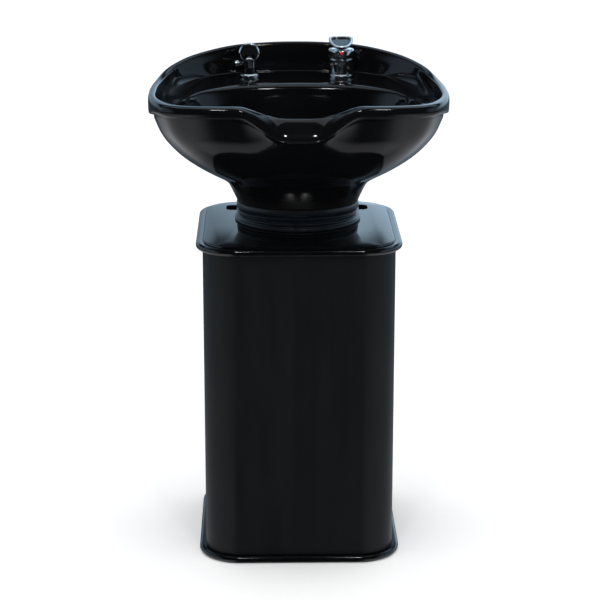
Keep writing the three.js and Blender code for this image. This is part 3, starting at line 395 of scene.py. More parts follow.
def finish_piece(piece, slot_name, body, nodes, sharp_degrees=None):
    """The same for a stiff piece, with its body and the angle from which its edges stay sharp."""
    finish_soft(piece, slot_name, nodes)
    if sharp_degrees:
        piece.data.set_sharp_from_angle(angle=math.radians(sharp_degrees))
    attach(piece, body)


def mesh_object(name, vertices, faces):
    """Makes an object from millimetre vertices."""
    mesh = bpy.data.meshes.new(name)
    mesh.from_pydata([(x * MM, y * MM, z * MM) for x, y, z in vertices], [], faces)
    edit = bmesh.new()
    edit.from_mesh(mesh)
    bmesh.ops.recalc_face_normals(edit, faces=edit.faces)
    edit.to_mesh(mesh)
    edit.free()
    piece = bpy.data.objects.new(name, mesh)
    bpy.context.collection.objects.link(piece)
    return piece


def loft(name, rings, closed):
    """Quads between rings of equal length; closed joins the last ring to the first."""
    count = len(rings[0])
    vertices = [point for ring in rings for point in ring]
    faces = []
    last = len(rings) if closed else len(rings) - 1
    for i in range(last):
        here = i * count
        there = ((i + 1) % len(rings)) * count
        for j in range(count):
            k = (j + 1) % count
            faces.append((here + j, here + k, there + k, there + j))
    if not closed:
        faces.append(tuple(reversed(range(count))))
        faces.append(tuple((len(rings) - 1) * count + j for j in range(count)))
    return mesh_object(name, vertices, faces)


def apply_modifiers(piece):
    bpy.context.view_layer.update()
    depsgraph = bpy.context.evaluated_depsgraph_get()
    mesh = bpy.data.meshes.new_from_object(piece.evaluated_get(depsgraph))
    piece.modifiers.clear()
    old = piece.data
    piece.data = mesh
    bpy.data.meshes.remove(old)


def subdivide(piece, levels):
    modifier = piece.modifiers.new("smooth", "SUBSURF")
    modifier.levels = levels
    modifier.render_levels = levels
    apply_modifiers(piece)


def carve(piece, tools, mode="DIFFERENCE"):
    """Cuts the tools out of a piece, or joins them to it, and deletes them."""
    for tool in tools:
        modifier = piece.modifiers.new("carve", "BOOLEAN")
        modifier.operation = mode
        modifier.solver = "EXACT"
        modifier.object = tool
        apply_modifiers(piece)
        bpy.data.objects.remove(tool)


def around(axis, centre, radius, along, angle):
    """A point at an angle round a line along the given axis, through a centre."""
    c = radius * math.cos(angle)
    s = radius * math.sin(angle)
    if axis == "z":
        return (centre[0] + c, centre[1] + s, along)
    if axis == "y":
        return (centre[0] + c, along, centre[1] + s)
    return (along, centre[0] + c, centre[1] + s)


def lathe(name, profile, centre, sides=96, axis="z"):
    """Turns [radius, along] pairs about an axis; a profile off the axis closes on itself."""
    on_axis = profile[0][0] == 0
    rings = []
    for radius, along in (profile[1:-1] if on_axis else profile):
        rings.append([around(axis, centre, radius, along, TURN * j / sides) for j in range(sides)])
    return loft(name, rings, not on_axis)


def rounded(profile, radius, steps=4, closed=True):
    """Rounds the corners of a [radius, z] profile with short arcs."""
    points = [Vector(p) for p in profile]
    result = []
    count = len(points)
    for i, point in enumerate(points):
        if not closed and i in (0, count - 1):
            result.append(point)
            continue
        before = points[i - 1] - point
        after = points[(i + 1) % count] - point
        reach = min(radius, before.length * 0.45, after.length * 0.45)
        start = point + before.normalized() * reach
        end = point + after.normalized() * reach
        for step in range(steps + 1):
            share = step / steps
            left = start.lerp(point, share)
            right = point.lerp(end, share)
            result.append(left.lerp(right, share))
    return [(p.x, p.y) for p in result]


def turned_ring(name, profile, centre, radius=1.0, sides=96, axis="z"):
    return lathe(name, rounded(profile, radius), centre, sides, axis)


def turned_solid(name, profile, centre, radius=1.0, sides=96, axis="z"):
    return lathe(name, rounded(profile, radius, closed=False), centre, sides, axis)


def rounded_rect(width, depth, radius, steps=20):
    """Points round a rectangle with round corners, centred on the origin."""
    points = []
    for quarter in range(4):
        side_x = 1 if quarter in (0, 3) else -1
        side_y = 1 if quarter in (0, 1) else -1
        for step in range(steps + 1):
            angle = TURN / 4 * (quarter + step / steps)
            points.append((
                side_x * (width / 2 - radius) + radius * math.cos(angle),
                side_y * (depth / 2 - radius) + radius * math.sin(angle),
            ))
    return points


def rect_ring(width, depth, corner, inset, z, steps=20):
    outline = rounded_rect(width - 2 * inset, depth - 2 * inset, max(corner - inset, 1), steps)
    return [(x, y, z) for x, y in outline]


def prism(name, outline, low_z, high_z, centre=(0, 0)):
    rings = [[(x + centre[0], y + centre[1], z) for x, y in outline] for z in (low_z, high_z)]
    return loft(name, rings, False)


def circle(radius, sides=96):
    return [(radius * math.cos(TURN * j / sides), radius * math.sin(TURN * j / sides))
            for j in range(sides)]


def smooth_step(low, high, value):
    share = min(1.0, max(0.0, (value - low) / (high - low)))
    return share * share * (3 - 2 * share)


def mix(start, end, share):
    return start + (end - start) * share


# ---- cabinet ---------------------------------------------------------------
def plate_profile(low_z):
    """(inset, height) pairs of the rolled edge, the step line and the raised panel of both plates."""
    roll = 6.5
    high_z = low_z + PLATE_RIM
    panel_z = high_z + PANEL_RISE
    profile = []
    steps = 8
    for step in range(steps + 1):
        angle = TURN / 4 * step / steps
        profile.append((roll * (1 - math.sin(angle)), low_z + roll * (1 - math.cos(angle))))
    for step in range(steps + 1):
        angle = TURN / 4 * step / steps
        profile.append((roll * (1 - math.cos(angle)), high_z - roll * (1 - math.sin(angle))))
    profile += [(PANEL_INSET - 1.6, high_z - 0.3), (PANEL_INSET - 0.9, high_z - 1.0)]
    profile += [(PANEL_INSET, high_z - 0.8), (PANEL_INSET + 0.2, panel_z - 1.2)]
    profile += [(PANEL_INSET + 0.7, panel_z - 0.3), (PANEL_INSET + 2.0, panel_z)]
    return profile


def make_plate(name, low_z, cutters):
    profile = plate_profile(low_z)
    rings = [rect_ring(PLATE_WIDTH, PLATE_DEPTH, PLATE_CORNER, inset, z) for inset, z in profile]
    plate = loft(name, rings, False)
    carve(plate, cutters)
    return plate


def rear_slot_cutters():
    cutters = []
    for side in (-1, 1):
        outline = rounded_rect(SLOT_OUTER_X - SLOT_INNER_X, SLOT_WIDTH, 12, 8)
        centre = (side * (SLOT_OUTER_X + SLOT_INNER_X) / 2, SLOT_Y)
        cutters.append(prism("slot_cutter", outline, TOP_PLATE_Z - 5, PANEL_TOP_Z + 5, centre))
    return cutters


def make_plates():
    neck = prism("neck_cutter", circle(NECK_OPENING_RADIUS), TOP_PLATE_Z - 5, PANEL_TOP_Z + 5, (0, NECK_Y))
    top = make_plate("top_plate_moulding", TOP_PLATE_Z, [neck] + rear_slot_cutters())
    finish_piece(top, "plate_gloss_black", "cabinet", ["top_plate"], 30)
    cutters = [prism("pipe_cutter", rounded_rect(190, 150, 20, 8), -5, 40, (0, PIPE_WAY_Y))]
    for x in (-ANCHOR_OFFSET, ANCHOR_OFFSET):
        for y in (-ANCHOR_OFFSET, ANCHOR_OFFSET):
            cutters.append(prism("anchor_cutter", circle(ANCHOR_HOLE_RADIUS, 32), -5, 40, (x, y)))
    base = make_plate("base_plate_moulding", 0, cutters)
    finish_piece(base, "plate_gloss_black", "cabinet", ["base_plate"], 30)


make_plates()


def rear_cutter(name, width, low_z, high_z):
    """Cuts through the back of the shell only."""
    front = SHELL_DEPTH / 2 - 20
    back = SHELL_DEPTH / 2 + 5
    half = width / 2
    return prism(name, [(-half, front), (half, front), (half, back), (-half, back)], low_z, high_z)


def make_shell():
    low = PLATE_RIM + GAP
    high = TOP_PLATE_Z - GAP
    lip = 0.8
    profile = [
        (lip, low), (0, low + lip), (0, high - lip), (lip, high),
        (SHELL_WALL, high), (SHELL_WALL, low),
    ]
    rings = [rect_ring(SHELL_WIDTH, SHELL_DEPTH, SHELL_CORNER, inset, z, 28) for inset, z in profile]
    shell = loft("cabinet_wrap", rings, True)
    opening = rear_cutter("opening_cutter", REAR_OPENING, REAR_OPENING_LOW_Z, REAR_OPENING_HIGH_Z)
    notch = rear_cutter("notch_cutter", REAR_NOTCH, 0, REAR_NOTCH_TOP_Z)
    carve(shell, [opening, notch])
    finish_piece(shell, "cabinet_satin_black", "cabinet", ["cabinet_shell"], 30)


make_shell()


# ---- bowl ------------------------------------------------------------------
# Each outline is the right half, from the middle of the front to the middle of the back.
RIM_OUTLINE = [
    (0, -257.6), (110, -257), (200, -253), (259, -232), (285, -180), (297, -120), (300, -65),
    (298, 20), (281, 118), (248, 172), (209, 206), (142, 240), (70, 254), (0, 258),
]
WALL_FOOT_OUTLINE = [
    (0, -222), (110, -224), (190, -220), (243, -190), (256, -120), (250, -65), (241, -10),
    (230, 45), (220, 103), (204, 165), (179, 210), (100, 233), (0, 239),
]
LEDGE_OUTLINE = [
    (0, -218), (110, -220), (186, -215), (237, -186), (250, -120), (244, -65), (236, -10),
    (229, 20), (213, 58), (187, 84), (150, 104), (118, 116), (62, 125), (0, 128),
]
# (share of the height, share of the way from neck to rim) of the outer skin
SKIN_PROFILE = [
    (0.04, 0.006), (0.075, 0.015), (0.133, 0.05), (0.20, 0.088), (0.235, 0.110), (0.266, 0.135),
    (0.305, 0.190), (0.343, 0.270), (0.38, 0.340), (0.415, 0.405), (0.489, 0.525), (0.558, 0.622),
    (0.625, 0.702), (0.691, 0.768), (0.754, 0.824), (0.816, 0.868), (0.877, 0.900), (0.937, 0.925),
    (0.985, 0.948),
]
# (height, share of the way from the ledge to the floor's edge) of the basin's wall
BASIN_LEVELS = [(918, 0.025), (900, 0.06), (875, 0.11), (850, 0.17), (828, 0.29), (810, 0.48), (795, 0.74)]
BOWL_RAYS = 120


def catmull_rom(p0, p1, p2, p3, t):
    return tuple(
        0.5 * (2 * b + (c - a) * t + (2 * a - 5 * b + 4 * c - d) * t * t
               + (3 * b - a - 3 * c + d) * t * t * t)
        for a, b, c, d in zip(p0, p1, p2, p3)
    )


def outline_table(half):
    """(angle, radius) samples of a mirrored half outline, seen from the neck's axis."""
    points = half + [(-x, y) for x, y in reversed(half[1:-1])]
    count = len(points)
    samples = []
    for i in range(count):
        nearby = [points[(i + k) % count] for k in (-1, 0, 1, 2)]
        for step in range(40):
            x, y = catmull_rom(*nearby, step / 40)
            samples.append((math.atan2(x, NECK_Y - y) % TURN, math.hypot(x, y - NECK_Y)))
    return sorted(samples)


def radius_at(samples, angle):
    """The outline's radius in one direction, between its two nearest samples."""
    target = angle % TURN
    low = samples[-1]
    low_angle = low[0] - TURN
    for high in samples:
        if high[0] >= target:
            share = (target - low_angle) / max(1e-9, high[0] - low_angle)
            return mix(low[1], high[1], share)
        low = high
        low_angle = high[0]
    return low[1]


def deck_z(y):
    return DECK_EDGE_Z + DECK_SLOPE * (y - DECK_EDGE_Y)


def on_ray(angle, radius, z):
    return (radius * math.sin(angle), NECK_Y - radius * math.cos(angle), z)


def round_floor_radius(angle, radius):
    """Radius of a circle round the drain, measured from the neck's axis."""
    offset = NECK_Y - FLOOR_CENTRE_Y
    across = offset * math.sin(angle)
    return offset * math.cos(angle) + math.sqrt(radius * radius - across * across)


class Ray:
    """Everything the bowl's section needs along one direction from the neck's axis."""

    def __init__(self, angle, rim, foot, ledge):
        self.angle = angle
        self.rim = rim
        x, y, _ = on_ray(angle, rim, 0)
        over = y - RIM_BACK_START_Y
        rise = RIM_BACK_SLOPE * 0.5 * (over + math.hypot(over, RIM_BACK_BLEND))
        outside_cut = smooth_step(NECK_CUT_HALF_FLOOR, NECK_CUT_HALF_TOP, abs(x)) ** NECK_CUT_ROUNDING
        self.cut = 1 - outside_cut if y < 0 else 0.0
        self.foot = min(foot, rim - mix(INNER_WALL_WIDTH, NECK_CUT_SLOPE_WIDTH + 15, self.cut))
        self.width = mix(RIM_WIDTH_FRONT, RIM_WIDTH_SIDE, smooth_step(-240, -120, y))
        self.ledge = min(ledge, self.foot - MIN_SHELF)
        self.back = smooth_step(-90, 60, y)
        self.lip_z = RIM_Z + rise - NECK_CUT_LIP_DROP * self.cut
        self.ridge_drop = NECK_CUT_RIDGE_DROP * self.cut ** NECK_CUT_RIDGE_WIDENING
        self.ridge_z = RIM_Z + rise - self.ridge_drop
        uncut_band = mix(BAND_HEIGHT_FRONT, BAND_HEIGHT_SIDE, smooth_step(-220, -60, y))
        self.band = uncut_band * (1 - NECK_CUT_BAND_LOSS * self.cut)

    def at(self, radius, z):
        return on_ray(self.angle, radius, z)

    def neck(self, radius, rise):
        y = NECK_Y - radius * math.cos(self.angle)
        return self.at(radius, NECK_BOTTOM_Z + rise - NECK_TILT * (y - NECK_Y))

    def skin(self, height, share, inset):
        drop = NECK_CUT_LIP_DROP * self.cut
        band_z = self.lip_z - self.band + drop
        radius = mix(NECK_RADIUS, self.rim, share) - inset
        low = NECK_BOTTOM_Z + NECK_TILT * radius * math.cos(self.angle) * (1 - height)
        return self.at(radius, mix(low, band_z, height) - drop * height ** 5)

    def rim_edge(self, inset, cut_inset, drop, cut_share):
        """A point over the rim; in the neck rest it lies on the slope from lip to ridge."""
        plain = self.lip_z + NECK_CUT_LIP_DROP * self.cut - drop
        plain -= self.ridge_drop
        sloped = mix(self.lip_z - 4, self.ridge_z, cut_share)
        radius = self.rim - mix(inset, cut_inset, self.cut)
        return self.at(radius, mix(plain, sloped, self.cut))

    def basin(self, z, share, thickness):
        radius = mix(self.ledge, round_floor_radius(self.angle, BASIN_FLOOR_RADIUS), share) + thickness
        return self.at(radius, z - thickness / 2)

    def round_drain(self, radius, z, wider=0):
        return self.at(round_floor_radius(self.angle, radius) + wider, z)

    def under_deck(self, radius):
        under = deck_z(NECK_Y - radius * math.cos(self.angle)) - BOWL_WALL
        return self.at(radius, mix(self.lip_z - self.band - 8, under, self.back))

    def foot_z(self, radius, drop):
        return mix(self.ridge_z - drop, deck_z(NECK_Y - radius * math.cos(self.angle)), self.back)

    def inner_wall(self, t):
        """Steep under the rim, then a fillet into the deck or the basin's edge."""
        start = Vector((self.rim - mix(self.width + 6, 42, self.cut), self.ridge_z - 13))
        low_z = self.foot_z(self.foot, 27)
        corner = Vector((self.rim - mix(self.width + 7.5, 46, self.cut), low_z + 1))
        end = Vector((self.foot, low_z))
        spot = start.lerp(corner, t).lerp(corner.lerp(end, t), t)
        return self.at(spot.x, spot.y)


def bowl_rays():
    tables = [outline_table(half) for half in (RIM_OUTLINE, WALL_FOOT_OUTLINE, LEDGE_OUTLINE)]
    rays = []
    for j in range(BOWL_RAYS):
        turn = TURN * j / BOWL_RAYS
        angle = turn - 0.5 * math.sin(turn)
        rays.append(Ray(angle, *(radius_at(table, angle) for table in tables)))
    return rays


def make_bowl():
    """One closed section, level by level: spigot, skin, band, rim, basin, then back under the deck."""
    rays = bowl_rays()
    rings = []

    def level(point):
        rings.append([point(ray) for ray in rays])

    # spigot and outer skin
    level(lambda r: r.neck(SPIGOT_RADIUS, 0))
    level(lambda r: r.neck(SPIGOT_RADIUS, 0.5))
    level(lambda r: r.neck(SPIGOT_RADIUS, SPIGOT_HEIGHT))
    level(lambda r: r.neck(NECK_RADIUS - 1, SPIGOT_HEIGHT + 0.3))
    level(lambda r: r.neck(NECK_RADIUS, SPIGOT_HEIGHT + 2))
    for height, share in SKIN_PROFILE:
        level(lambda r: r.skin(height, share, 0))
    # band round the rim
    level(lambda r: r.at(r.rim - 13 + 4 * r.cut, r.lip_z - r.band - 1))
    level(lambda r: r.at(r.rim - 11 + 4 * r.cut, r.lip_z - r.band + 0.5))
    level(lambda r: r.at(r.rim - 2, r.lip_z - r.band + 2.5))
    level(lambda r: r.at(r.rim, r.lip_z - r.band + 6))
    level(lambda r: r.at(r.rim + 0.5, r.lip_z - mix(10, 12, r.cut)))
    # over the rim
    level(lambda r: r.rim_edge(0.5, 1, 5, 0.0))
    level(lambda r: r.rim_edge(4, 6, 0.5, 0.25))
    level(lambda r: r.rim_edge(0.7 * r.width, 15, 0, 0.55))
    level(lambda r: r.rim_edge(r.width + 0.5, 27, 0.5, 0.85))
    level(lambda r: r.rim_edge(r.width + 3, 34, 2.5, 1.0))
    level(lambda r: r.rim_edge(r.width + 4.5, 38, 7, 0.93))
    # inner wall, deck and basin
    for share in (0.0, 0.3, 0.55, 0.75, 0.9):
        level(lambda r: r.inner_wall(share))
    level(lambda r: r.at(r.foot - 2, r.foot_z(r.foot - 2, 28)))
    level(lambda r: r.at(mix(r.ledge, r.foot, 0.5), r.foot_z(mix(r.ledge, r.foot, 0.5), 30)))
    level(lambda r: r.at(mix(r.ledge, r.foot, 0.2), r.foot_z(mix(r.ledge, r.foot, 0.2), 31)))
    level(lambda r: r.at(r.ledge + r.back, r.foot_z(r.ledge, 33) - 1.0 * r.back))
    for z, share in BASIN_LEVELS:
        level(lambda r: r.basin(z, share, 0))
    level(lambda r: r.round_drain(BASIN_FLOOR_RADIUS, BASIN_FLOOR_Z))
    # drain seat and hole
    level(lambda r: r.round_drain(DRAIN_SEAT_RADIUS + 4, DRAIN_SEAT_Z + 1.6))
    level(lambda r: r.round_drain(DRAIN_SEAT_RADIUS, DRAIN_SEAT_Z))
    level(lambda r: r.round_drain(DRAIN_HOLE_RADIUS + 1, DRAIN_SEAT_Z))
    level(lambda r: r.round_drain(DRAIN_HOLE_RADIUS, DRAIN_SEAT_Z - 1))
    level(lambda r: r.round_drain(DRAIN_HOLE_RADIUS, BASIN_UNDER_Z))
    level(lambda r: r.round_drain(DRAIN_HOLE_RADIUS + 1, BASIN_UNDER_Z))
    # underside of the basin and the deck, then the inside of the skin
    level(lambda r: r.round_drain(BASIN_FLOOR_RADIUS, BASIN_UNDER_Z, 4))
    for z, share in reversed(BASIN_LEVELS[1:]):
        level(lambda r: r.basin(z - 4 * (1 - r.back), share, BOWL_WALL))
    level(lambda r: r.under_deck(r.ledge + BOWL_WALL - 3 * (1 - r.back)))
    level(lambda r: r.under_deck(max(r.foot - 4 * r.back, r.ledge + BOWL_WALL)))
    for height, share in reversed(SKIN_PROFILE[:-2]):
        level(lambda r: r.skin(height, share, BOWL_WALL))
    level(lambda r: r.neck(SPIGOT_RADIUS - BOWL_WALL, 0.5))
    level(lambda r: r.neck(SPIGOT_RADIUS - BOWL_WALL, 0))
    bowl = loft("bowl_moulding", rings, True)
    subdivide(bowl, 1)
    finish_piece(bowl, "bowl_gloss_black", "bowl", ["bowl"])


make_bowl()


# ---- rear panel ------------------------------------------------------------
REAR_PANEL_Y = SHELL_DEPTH / 2 + GAP
REAR_PANEL_WIDTH = 252
REAR_PANEL_LOW = 40
REAR_PANEL_HIGH = 610
REAR_SCREW_X = 117
REAR_SCREW_ZS = {"low": 60, "mid": 325, "high": 590}


def upright_ring(width, height, corner, inset, y, middle_z):
    outline = rounded_rect(width - 2 * inset, height - 2 * inset, max(corner - inset, 1), 10)
    return [(x, y, z + middle_z) for x, z in outline]


def make_rear_panel():
    height = REAR_PANEL_HIGH - REAR_PANEL_LOW
    middle = (REAR_PANEL_HIGH + REAR_PANEL_LOW) / 2
    back = REAR_PANEL_Y + SHELL_WALL
    edge = 0.9
    levels = [(0, REAR_PANEL_Y), (0, back - edge), (0.3, back - 0.3), (edge, back)]
    rings = [upright_ring(REAR_PANEL_WIDTH, height, 10, inset, y, middle) for inset, y in levels]
    panel = loft("rear_cover", rings, False)
    notch_levels = [(0, REAR_PANEL_Y - 2), (0, back + 2)]
    notch = loft("notch_cutter", [upright_ring(REAR_NOTCH, 160, 25, inset, y, REAR_PANEL_LOW)
                                  for inset, y in notch_levels], False)
    carve(panel, [notch])
    finish_piece(panel, "cabinet_satin_black", "cabinet", ["rear_panel"], 30)


def make_rear_screws():
    face = REAR_PANEL_Y + SHELL_WALL + GAP
    for side_name, side in (("left", -1), ("right", 1)):
        for level_name, z in REAR_SCREW_ZS.items():
            x = side * REAR_SCREW_X
            profile = [(0, face), (5, face), (5, face + 1.2), (3, face + 2.3), (0, face + 2.6)]
            screw = turned_solid(f"screw_{side_name}_{level_name}", profile, (x, z), 0.8, 32, "y")
            slot = [(-4, z - 0.6), (4, z - 0.6), (4, z + 0.6), (-4, z + 0.6)]
            cutter = loft("slot_cutter", [[(x + dx, y, dz) for dx, dz in slot]
                                          for y in (face + 1.3, face + 5)], False)
            carve(screw, [cutter])
            finish_piece(screw, "zinc_fasteners", "cabinet", [f"rear_screw_{side_name}_{level_name}"], 30)


make_rear_panel()
make_rear_screws()


# ---- bellows ---------------------------------------------------------------
def make_bellows():
    """A flange on the plate, folds above it, and a band round the bowl's spigot."""
    base = PANEL_TOP_Z + GAP
    band_low = NECK_BOTTOM_Z - 2.5
    band_high = NECK_BOTTOM_Z + SPIGOT_HEIGHT - 0.8
    fold_start = base + 8
    fold = (band_low - fold_start) / BELLOWS_RIDGES
    flange = BELLOWS_FLANGE_RADIUS
    outer = [(flange, base), (flange, fold_start - 3), (flange - 1.5, fold_start - 1.6)]
    inner = []
    steps = 12
    for step in range(BELLOWS_RIDGES * steps + 1):
        share = step / steps
        swell = 0.5 - 0.5 * math.cos(TURN * share)
        radius = 121.5 + 6 * swell ** 0.7
        z = fold_start + fold * share
        outer.append((radius, z))
        inner.insert(0, (radius - BELLOWS_WALL, z))
    outer += [(126, band_low + 0.3), (127, band_low + 1.2), (127, band_high - 1), (126, band_high)]
    socket = SPIGOT_RADIUS + 1.5
    shelf = NECK_BOTTOM_Z - 0.5
    closing = [(socket, band_high), (socket, shelf), (118, shelf - 2)]
    sleeve = lathe("bellows_sleeve", outer + closing + inner + [(122, base)], (0, NECK_Y), 120)
    for vertex in sleeve.data.vertices:
        share = (vertex.co.z / MM - fold_start) / (band_low - fold_start)
        share = min(1.0, max(0.0, share))
        vertex.co.z -= share * NECK_TILT * (vertex.co.y - NECK_Y * MM)
    finish_soft(sleeve, "bellows_rubber", ["bellows"])
    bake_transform(sleeve)


make_bellows()


# ---- hoses -----------------------------------------------------------------
def sample_path(points, steps):
    """A smooth path through the points."""
    padded = [points[0], *points, points[-1]]
    path = []
    for i in range(len(points) - 1):
        for step in range(steps):
            path.append(Vector(catmull_rom(*padded[i:i + 4], step / steps)))
    path.append(Vector(points[-1]))
    return path


def tube(name, points, radius_at_step, sides=20, steps=10, bore=None):
    """A hose along a path; bore gives its inner radius where it is open at both ends."""
    path = sample_path(points, steps)
    frames = []
    side = Vector((1, 0, 0))
    for i, point in enumerate(path):
        ahead = path[min(i + 1, len(path) - 1)] - path[max(i - 1, 0)]
        ahead.normalize()
        side = (side - ahead * side.dot(ahead)).normalized()
        frames.append((point, side.copy(), ahead.cross(side)))

    def ring_at(i, radius):
        point, across, up = frames[i]
        return [tuple(point + radius * (math.cos(TURN * j / sides) * across
                                        + math.sin(TURN * j / sides) * up)) for j in range(sides)]

    rings = [ring_at(i, radius_at_step(i)) for i in range(len(path))]
    if bore:
        rings += [ring_at(i, bore) for i in reversed(range(len(path)))]
    return loft(name, rings, bool(bore))


def connector_x(side):
    return 60 + side * 24


def supply_path(side):
    top_x = MIXER_X + side * 6
    top_y = FITTINGS_Y - 4
    end_x = connector_x(side)
    return [
        (top_x, top_y, SHANK_BOTTOM_Z - GAP), (top_x, top_y, SHANK_BOTTOM_Z - 16),
        (91 + side * 8, 183, 850), (74 + side * 8, 162, 800), (55 + side * 8, 133, 750),
        (51 + side * 7, 124, 700), (50 + side * 7, 119, 640), (52 + side * 14, 128, 500), (end_x, 130, 380),
        (end_x, CONNECTOR_Y, 300), (end_x, CONNECTOR_Y, CONNECTOR_TOP_Z + 20),
        (end_x, CONNECTOR_Y, CONNECTOR_TOP_Z + GAP),
    ]


SPRAY_PATH = [
    (MIXER_X, FITTINGS_Y + 8, SHANK_BOTTOM_Z - GAP), (MIXER_X, FITTINGS_Y + 8, SHANK_BOTTOM_Z - 16),
    (83, 197, 850), (60, 179, 800), (30, 146, 750), (24, 136, 700), (22, 126, 640), (20, 80, 560),
    (-6, 62, 505), (-34, 80, 560), (-44, 126, 640), (-46, 133, 700), (-56, 146, 750), (-80, 173, 805),
    (SPRAY_X + 3, FITTINGS_Y - 4, 860), (SPRAY_X, FITTINGS_Y, 905),
    (SPRAY_X, FITTINGS_Y, HANDSET_BOTTOM_Z - GAP),
]
DRAIN_PATH = [
    (0, FLOOR_CENTRE_Y, 742), (0, FLOOR_CENTRE_Y, 690), (-6, FLOOR_CENTRE_Y, 640),
    (-50, 25, 560), (-58, 30, 500), (TRAP_X, TRAP_Y, 430), (TRAP_X, TRAP_Y, TRAP_TOP_Z + GAP),
]


def make_hoses():
    for name, side in (("hot", -1), ("cold", 1)):
        hose = tube(f"{name}_supply_hose", supply_path(side), lambda i: HOSE_RADIUS)
        finish_soft(hose, "braided_hose", [f"{name}_hose"])
        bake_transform(hose)
    spray = tube("handset_hose", SPRAY_PATH, lambda i: HOSE_RADIUS)
    finish_soft(spray, "braided_hose", ["spray_hose"])
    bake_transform(spray)
    drain = tube("drain_down_hose", DRAIN_PATH,
                 lambda i: 24.6 + 1.3 * math.cos(TURN * i / 3.5), 28, 14, 22.6)
    finish_soft(drain, "waste_hose", ["drain_hose"])
    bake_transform(drain)


make_hoses()


# ---- drain -----------------------------------------------------------------
def make_drain():
    seat = DRAIN_SEAT_Z + GAP
    tail = 728
    flange = turned_ring("drain_ring", [
        (19, tail), (22, tail), (22, seat), (35, seat), (34.5, seat + 2.2), (30, seat + 2.6),
        (24, seat + 2), (19, seat - 3),
    ], (0, FLOOR_CENTRE_Y), 0.7)
    finish_piece(flange, "chrome_trim", "bowl", ["drain_flange"], 35)
    low = seat + 3
    cup = turned_solid("strainer_cup", [
        (0, low - 14), (15, low - 14), (17.5, low), (27, low), (27, low + 1.2),
        (15.8, low + 1.2), (13.5, low - 12.6), (0, low - 12.6),
    ], (0, FLOOR_CENTRE_Y), 0.8)
    holes = []
    for count, reach in ((6, 5), (10, 10)):
        for i in range(count):
            angle = TURN * i / count
            centre = (reach * math.cos(angle), FLOOR_CENTRE_Y + reach * math.sin(angle))
            holes.append(prism("hole_cutter", circle(1.6, 16), low - 16, low - 10, centre))
    carve(cup, holes)
    finish_piece(cup, "chrome_trim", "strainer", ["drain_strainer"], 35)


make_drain()


# ---- mixer -----------------------------------------------------------------
MIXER_BASE_TOP_Z = 949
MIXER_BODY_TOP_Z = 981
MIXER_RADIUS = 26.3
TURRET_RADIUS = 27.3
MIXER_SPOT = (MIXER_X, FITTINGS_Y)
LEVER_PIVOT_Y = FITTINGS_Y - 19
LEVER_PIVOT_Z = 990
LEVER_THICKNESS = 6
LEVER_RIM_WIDTH = 6


def deck_flange(name, outer_radius, x, nodes):
    """A raised ring whose underside lies on the sloping deck."""
    top = MIXER_BASE_TOP_Z
    low = top - 8
    inner_radius = SHANK_RADIUS + 0.4
    piece = turned_ring(name, [
        (inner_radius, low), (outer_radius, low), (outer_radius, top - 3.4),
        (outer_radius - 3.6, top), (inner_radius, top),
    ], (x, FITTINGS_Y), 1.4)
    for vertex in piece.data.vertices:
        if vertex.co.z < (low + 1) * MM:
            vertex.co.z = (deck_z(vertex.co.y / MM) + GAP) * MM
    finish_piece(piece, "chrome_trim", "bowl", nodes, 35)


def make_mixer_body():
    low = MIXER_BASE_TOP_Z + GAP
    top = MIXER_BODY_TOP_Z
    body = turned_solid("mixer_barrel", [
        (0, SHANK_BOTTOM_Z), (SHANK_RADIUS, SHANK_BOTTOM_Z), (SHANK_RADIUS, low),
        (MIXER_RADIUS, low), (MIXER_RADIUS, top - 1.5), (MIXER_RADIUS - 1.5, top), (0, top),
    ], MIXER_SPOT, 0.9)
    finish_piece(body, "chrome_trim", "bowl", ["mixer_body"], 35)


def make_turret():
    """The turning cap, slotted for the lever's tongue, and the dot on its front."""
    low = MIXER_BODY_TOP_Z + GAP
    top = TURRET_TOP_Z
    turret = turned_solid("mixer_cap", [
        (0, low), (TURRET_RADIUS - 1, low), (TURRET_RADIUS, low + 1), (TURRET_RADIUS, top - 3.5),
        (TURRET_RADIUS - 2.5, top - 1), (18, top), (0, top + 0.5),
    ], MIXER_SPOT, 1.2)
    slot_front = LEVER_PIVOT_Y - 5.5
    slot_back = LEVER_PIVOT_Y + 9
    outline = rounded_rect(10, slot_back - slot_front, 1.5, 3)
    slot_centre = (MIXER_X, (slot_front + slot_back) / 2)
    cutter = prism("slot_cutter", outline, LEVER_PIVOT_Z - 5, top + 5, slot_centre)
    carve(turret, [cutter])
    finish_piece(turret, "chrome_trim", "turret", ["mixer_turret"], 35)
    face = FITTINGS_Y - TURRET_RADIUS - GAP
    dot_profile = [(0, face - 1.4), (2.7, face - 1.4), (3.2, face - 0.8), (3.2, face), (0, face)]
    dot = turned_solid("mixer_dot", dot_profile, (MIXER_X, MIXER_BODY_TOP_Z + 13.5), 0.5, 40, "y")
    finish_piece(dot, "index_red", "turret", ["mixer_index"], 35)


def bezier(points, t):
    """The point at share t of the curve that these control points pull."""
    while len(points) > 1:
        points = [a.lerp(b, t) for a, b in zip(points, points[1:])]
    return points[0]


def lever_outline(inset, steps=18):
    """The dished handle in plan: narrow at the front, wide at the back."""
    front = -27 + 1.2 * inset
    back = 34 - inset
    half = 26 - inset
    tip = 8 - 0.3 * inset
    left = [(-tip, front), (-tip - 8, front + 3), (-half, 0), (-half, 20)]
    round_left = [(-half, 20), (-half, back), (-12, back), (0, back)]
    curves = [left, round_left]
    curves += [[(-x, y) for x, y in reversed(curve)] for curve in (round_left, left)]
    outline = []
    for curve in curves:
        points = [Vector((x, y)) for x, y in curve]
        outline += [bezier(points, step / steps) for step in range(steps)]
    outline.append(Vector((tip, front)))
    return outline


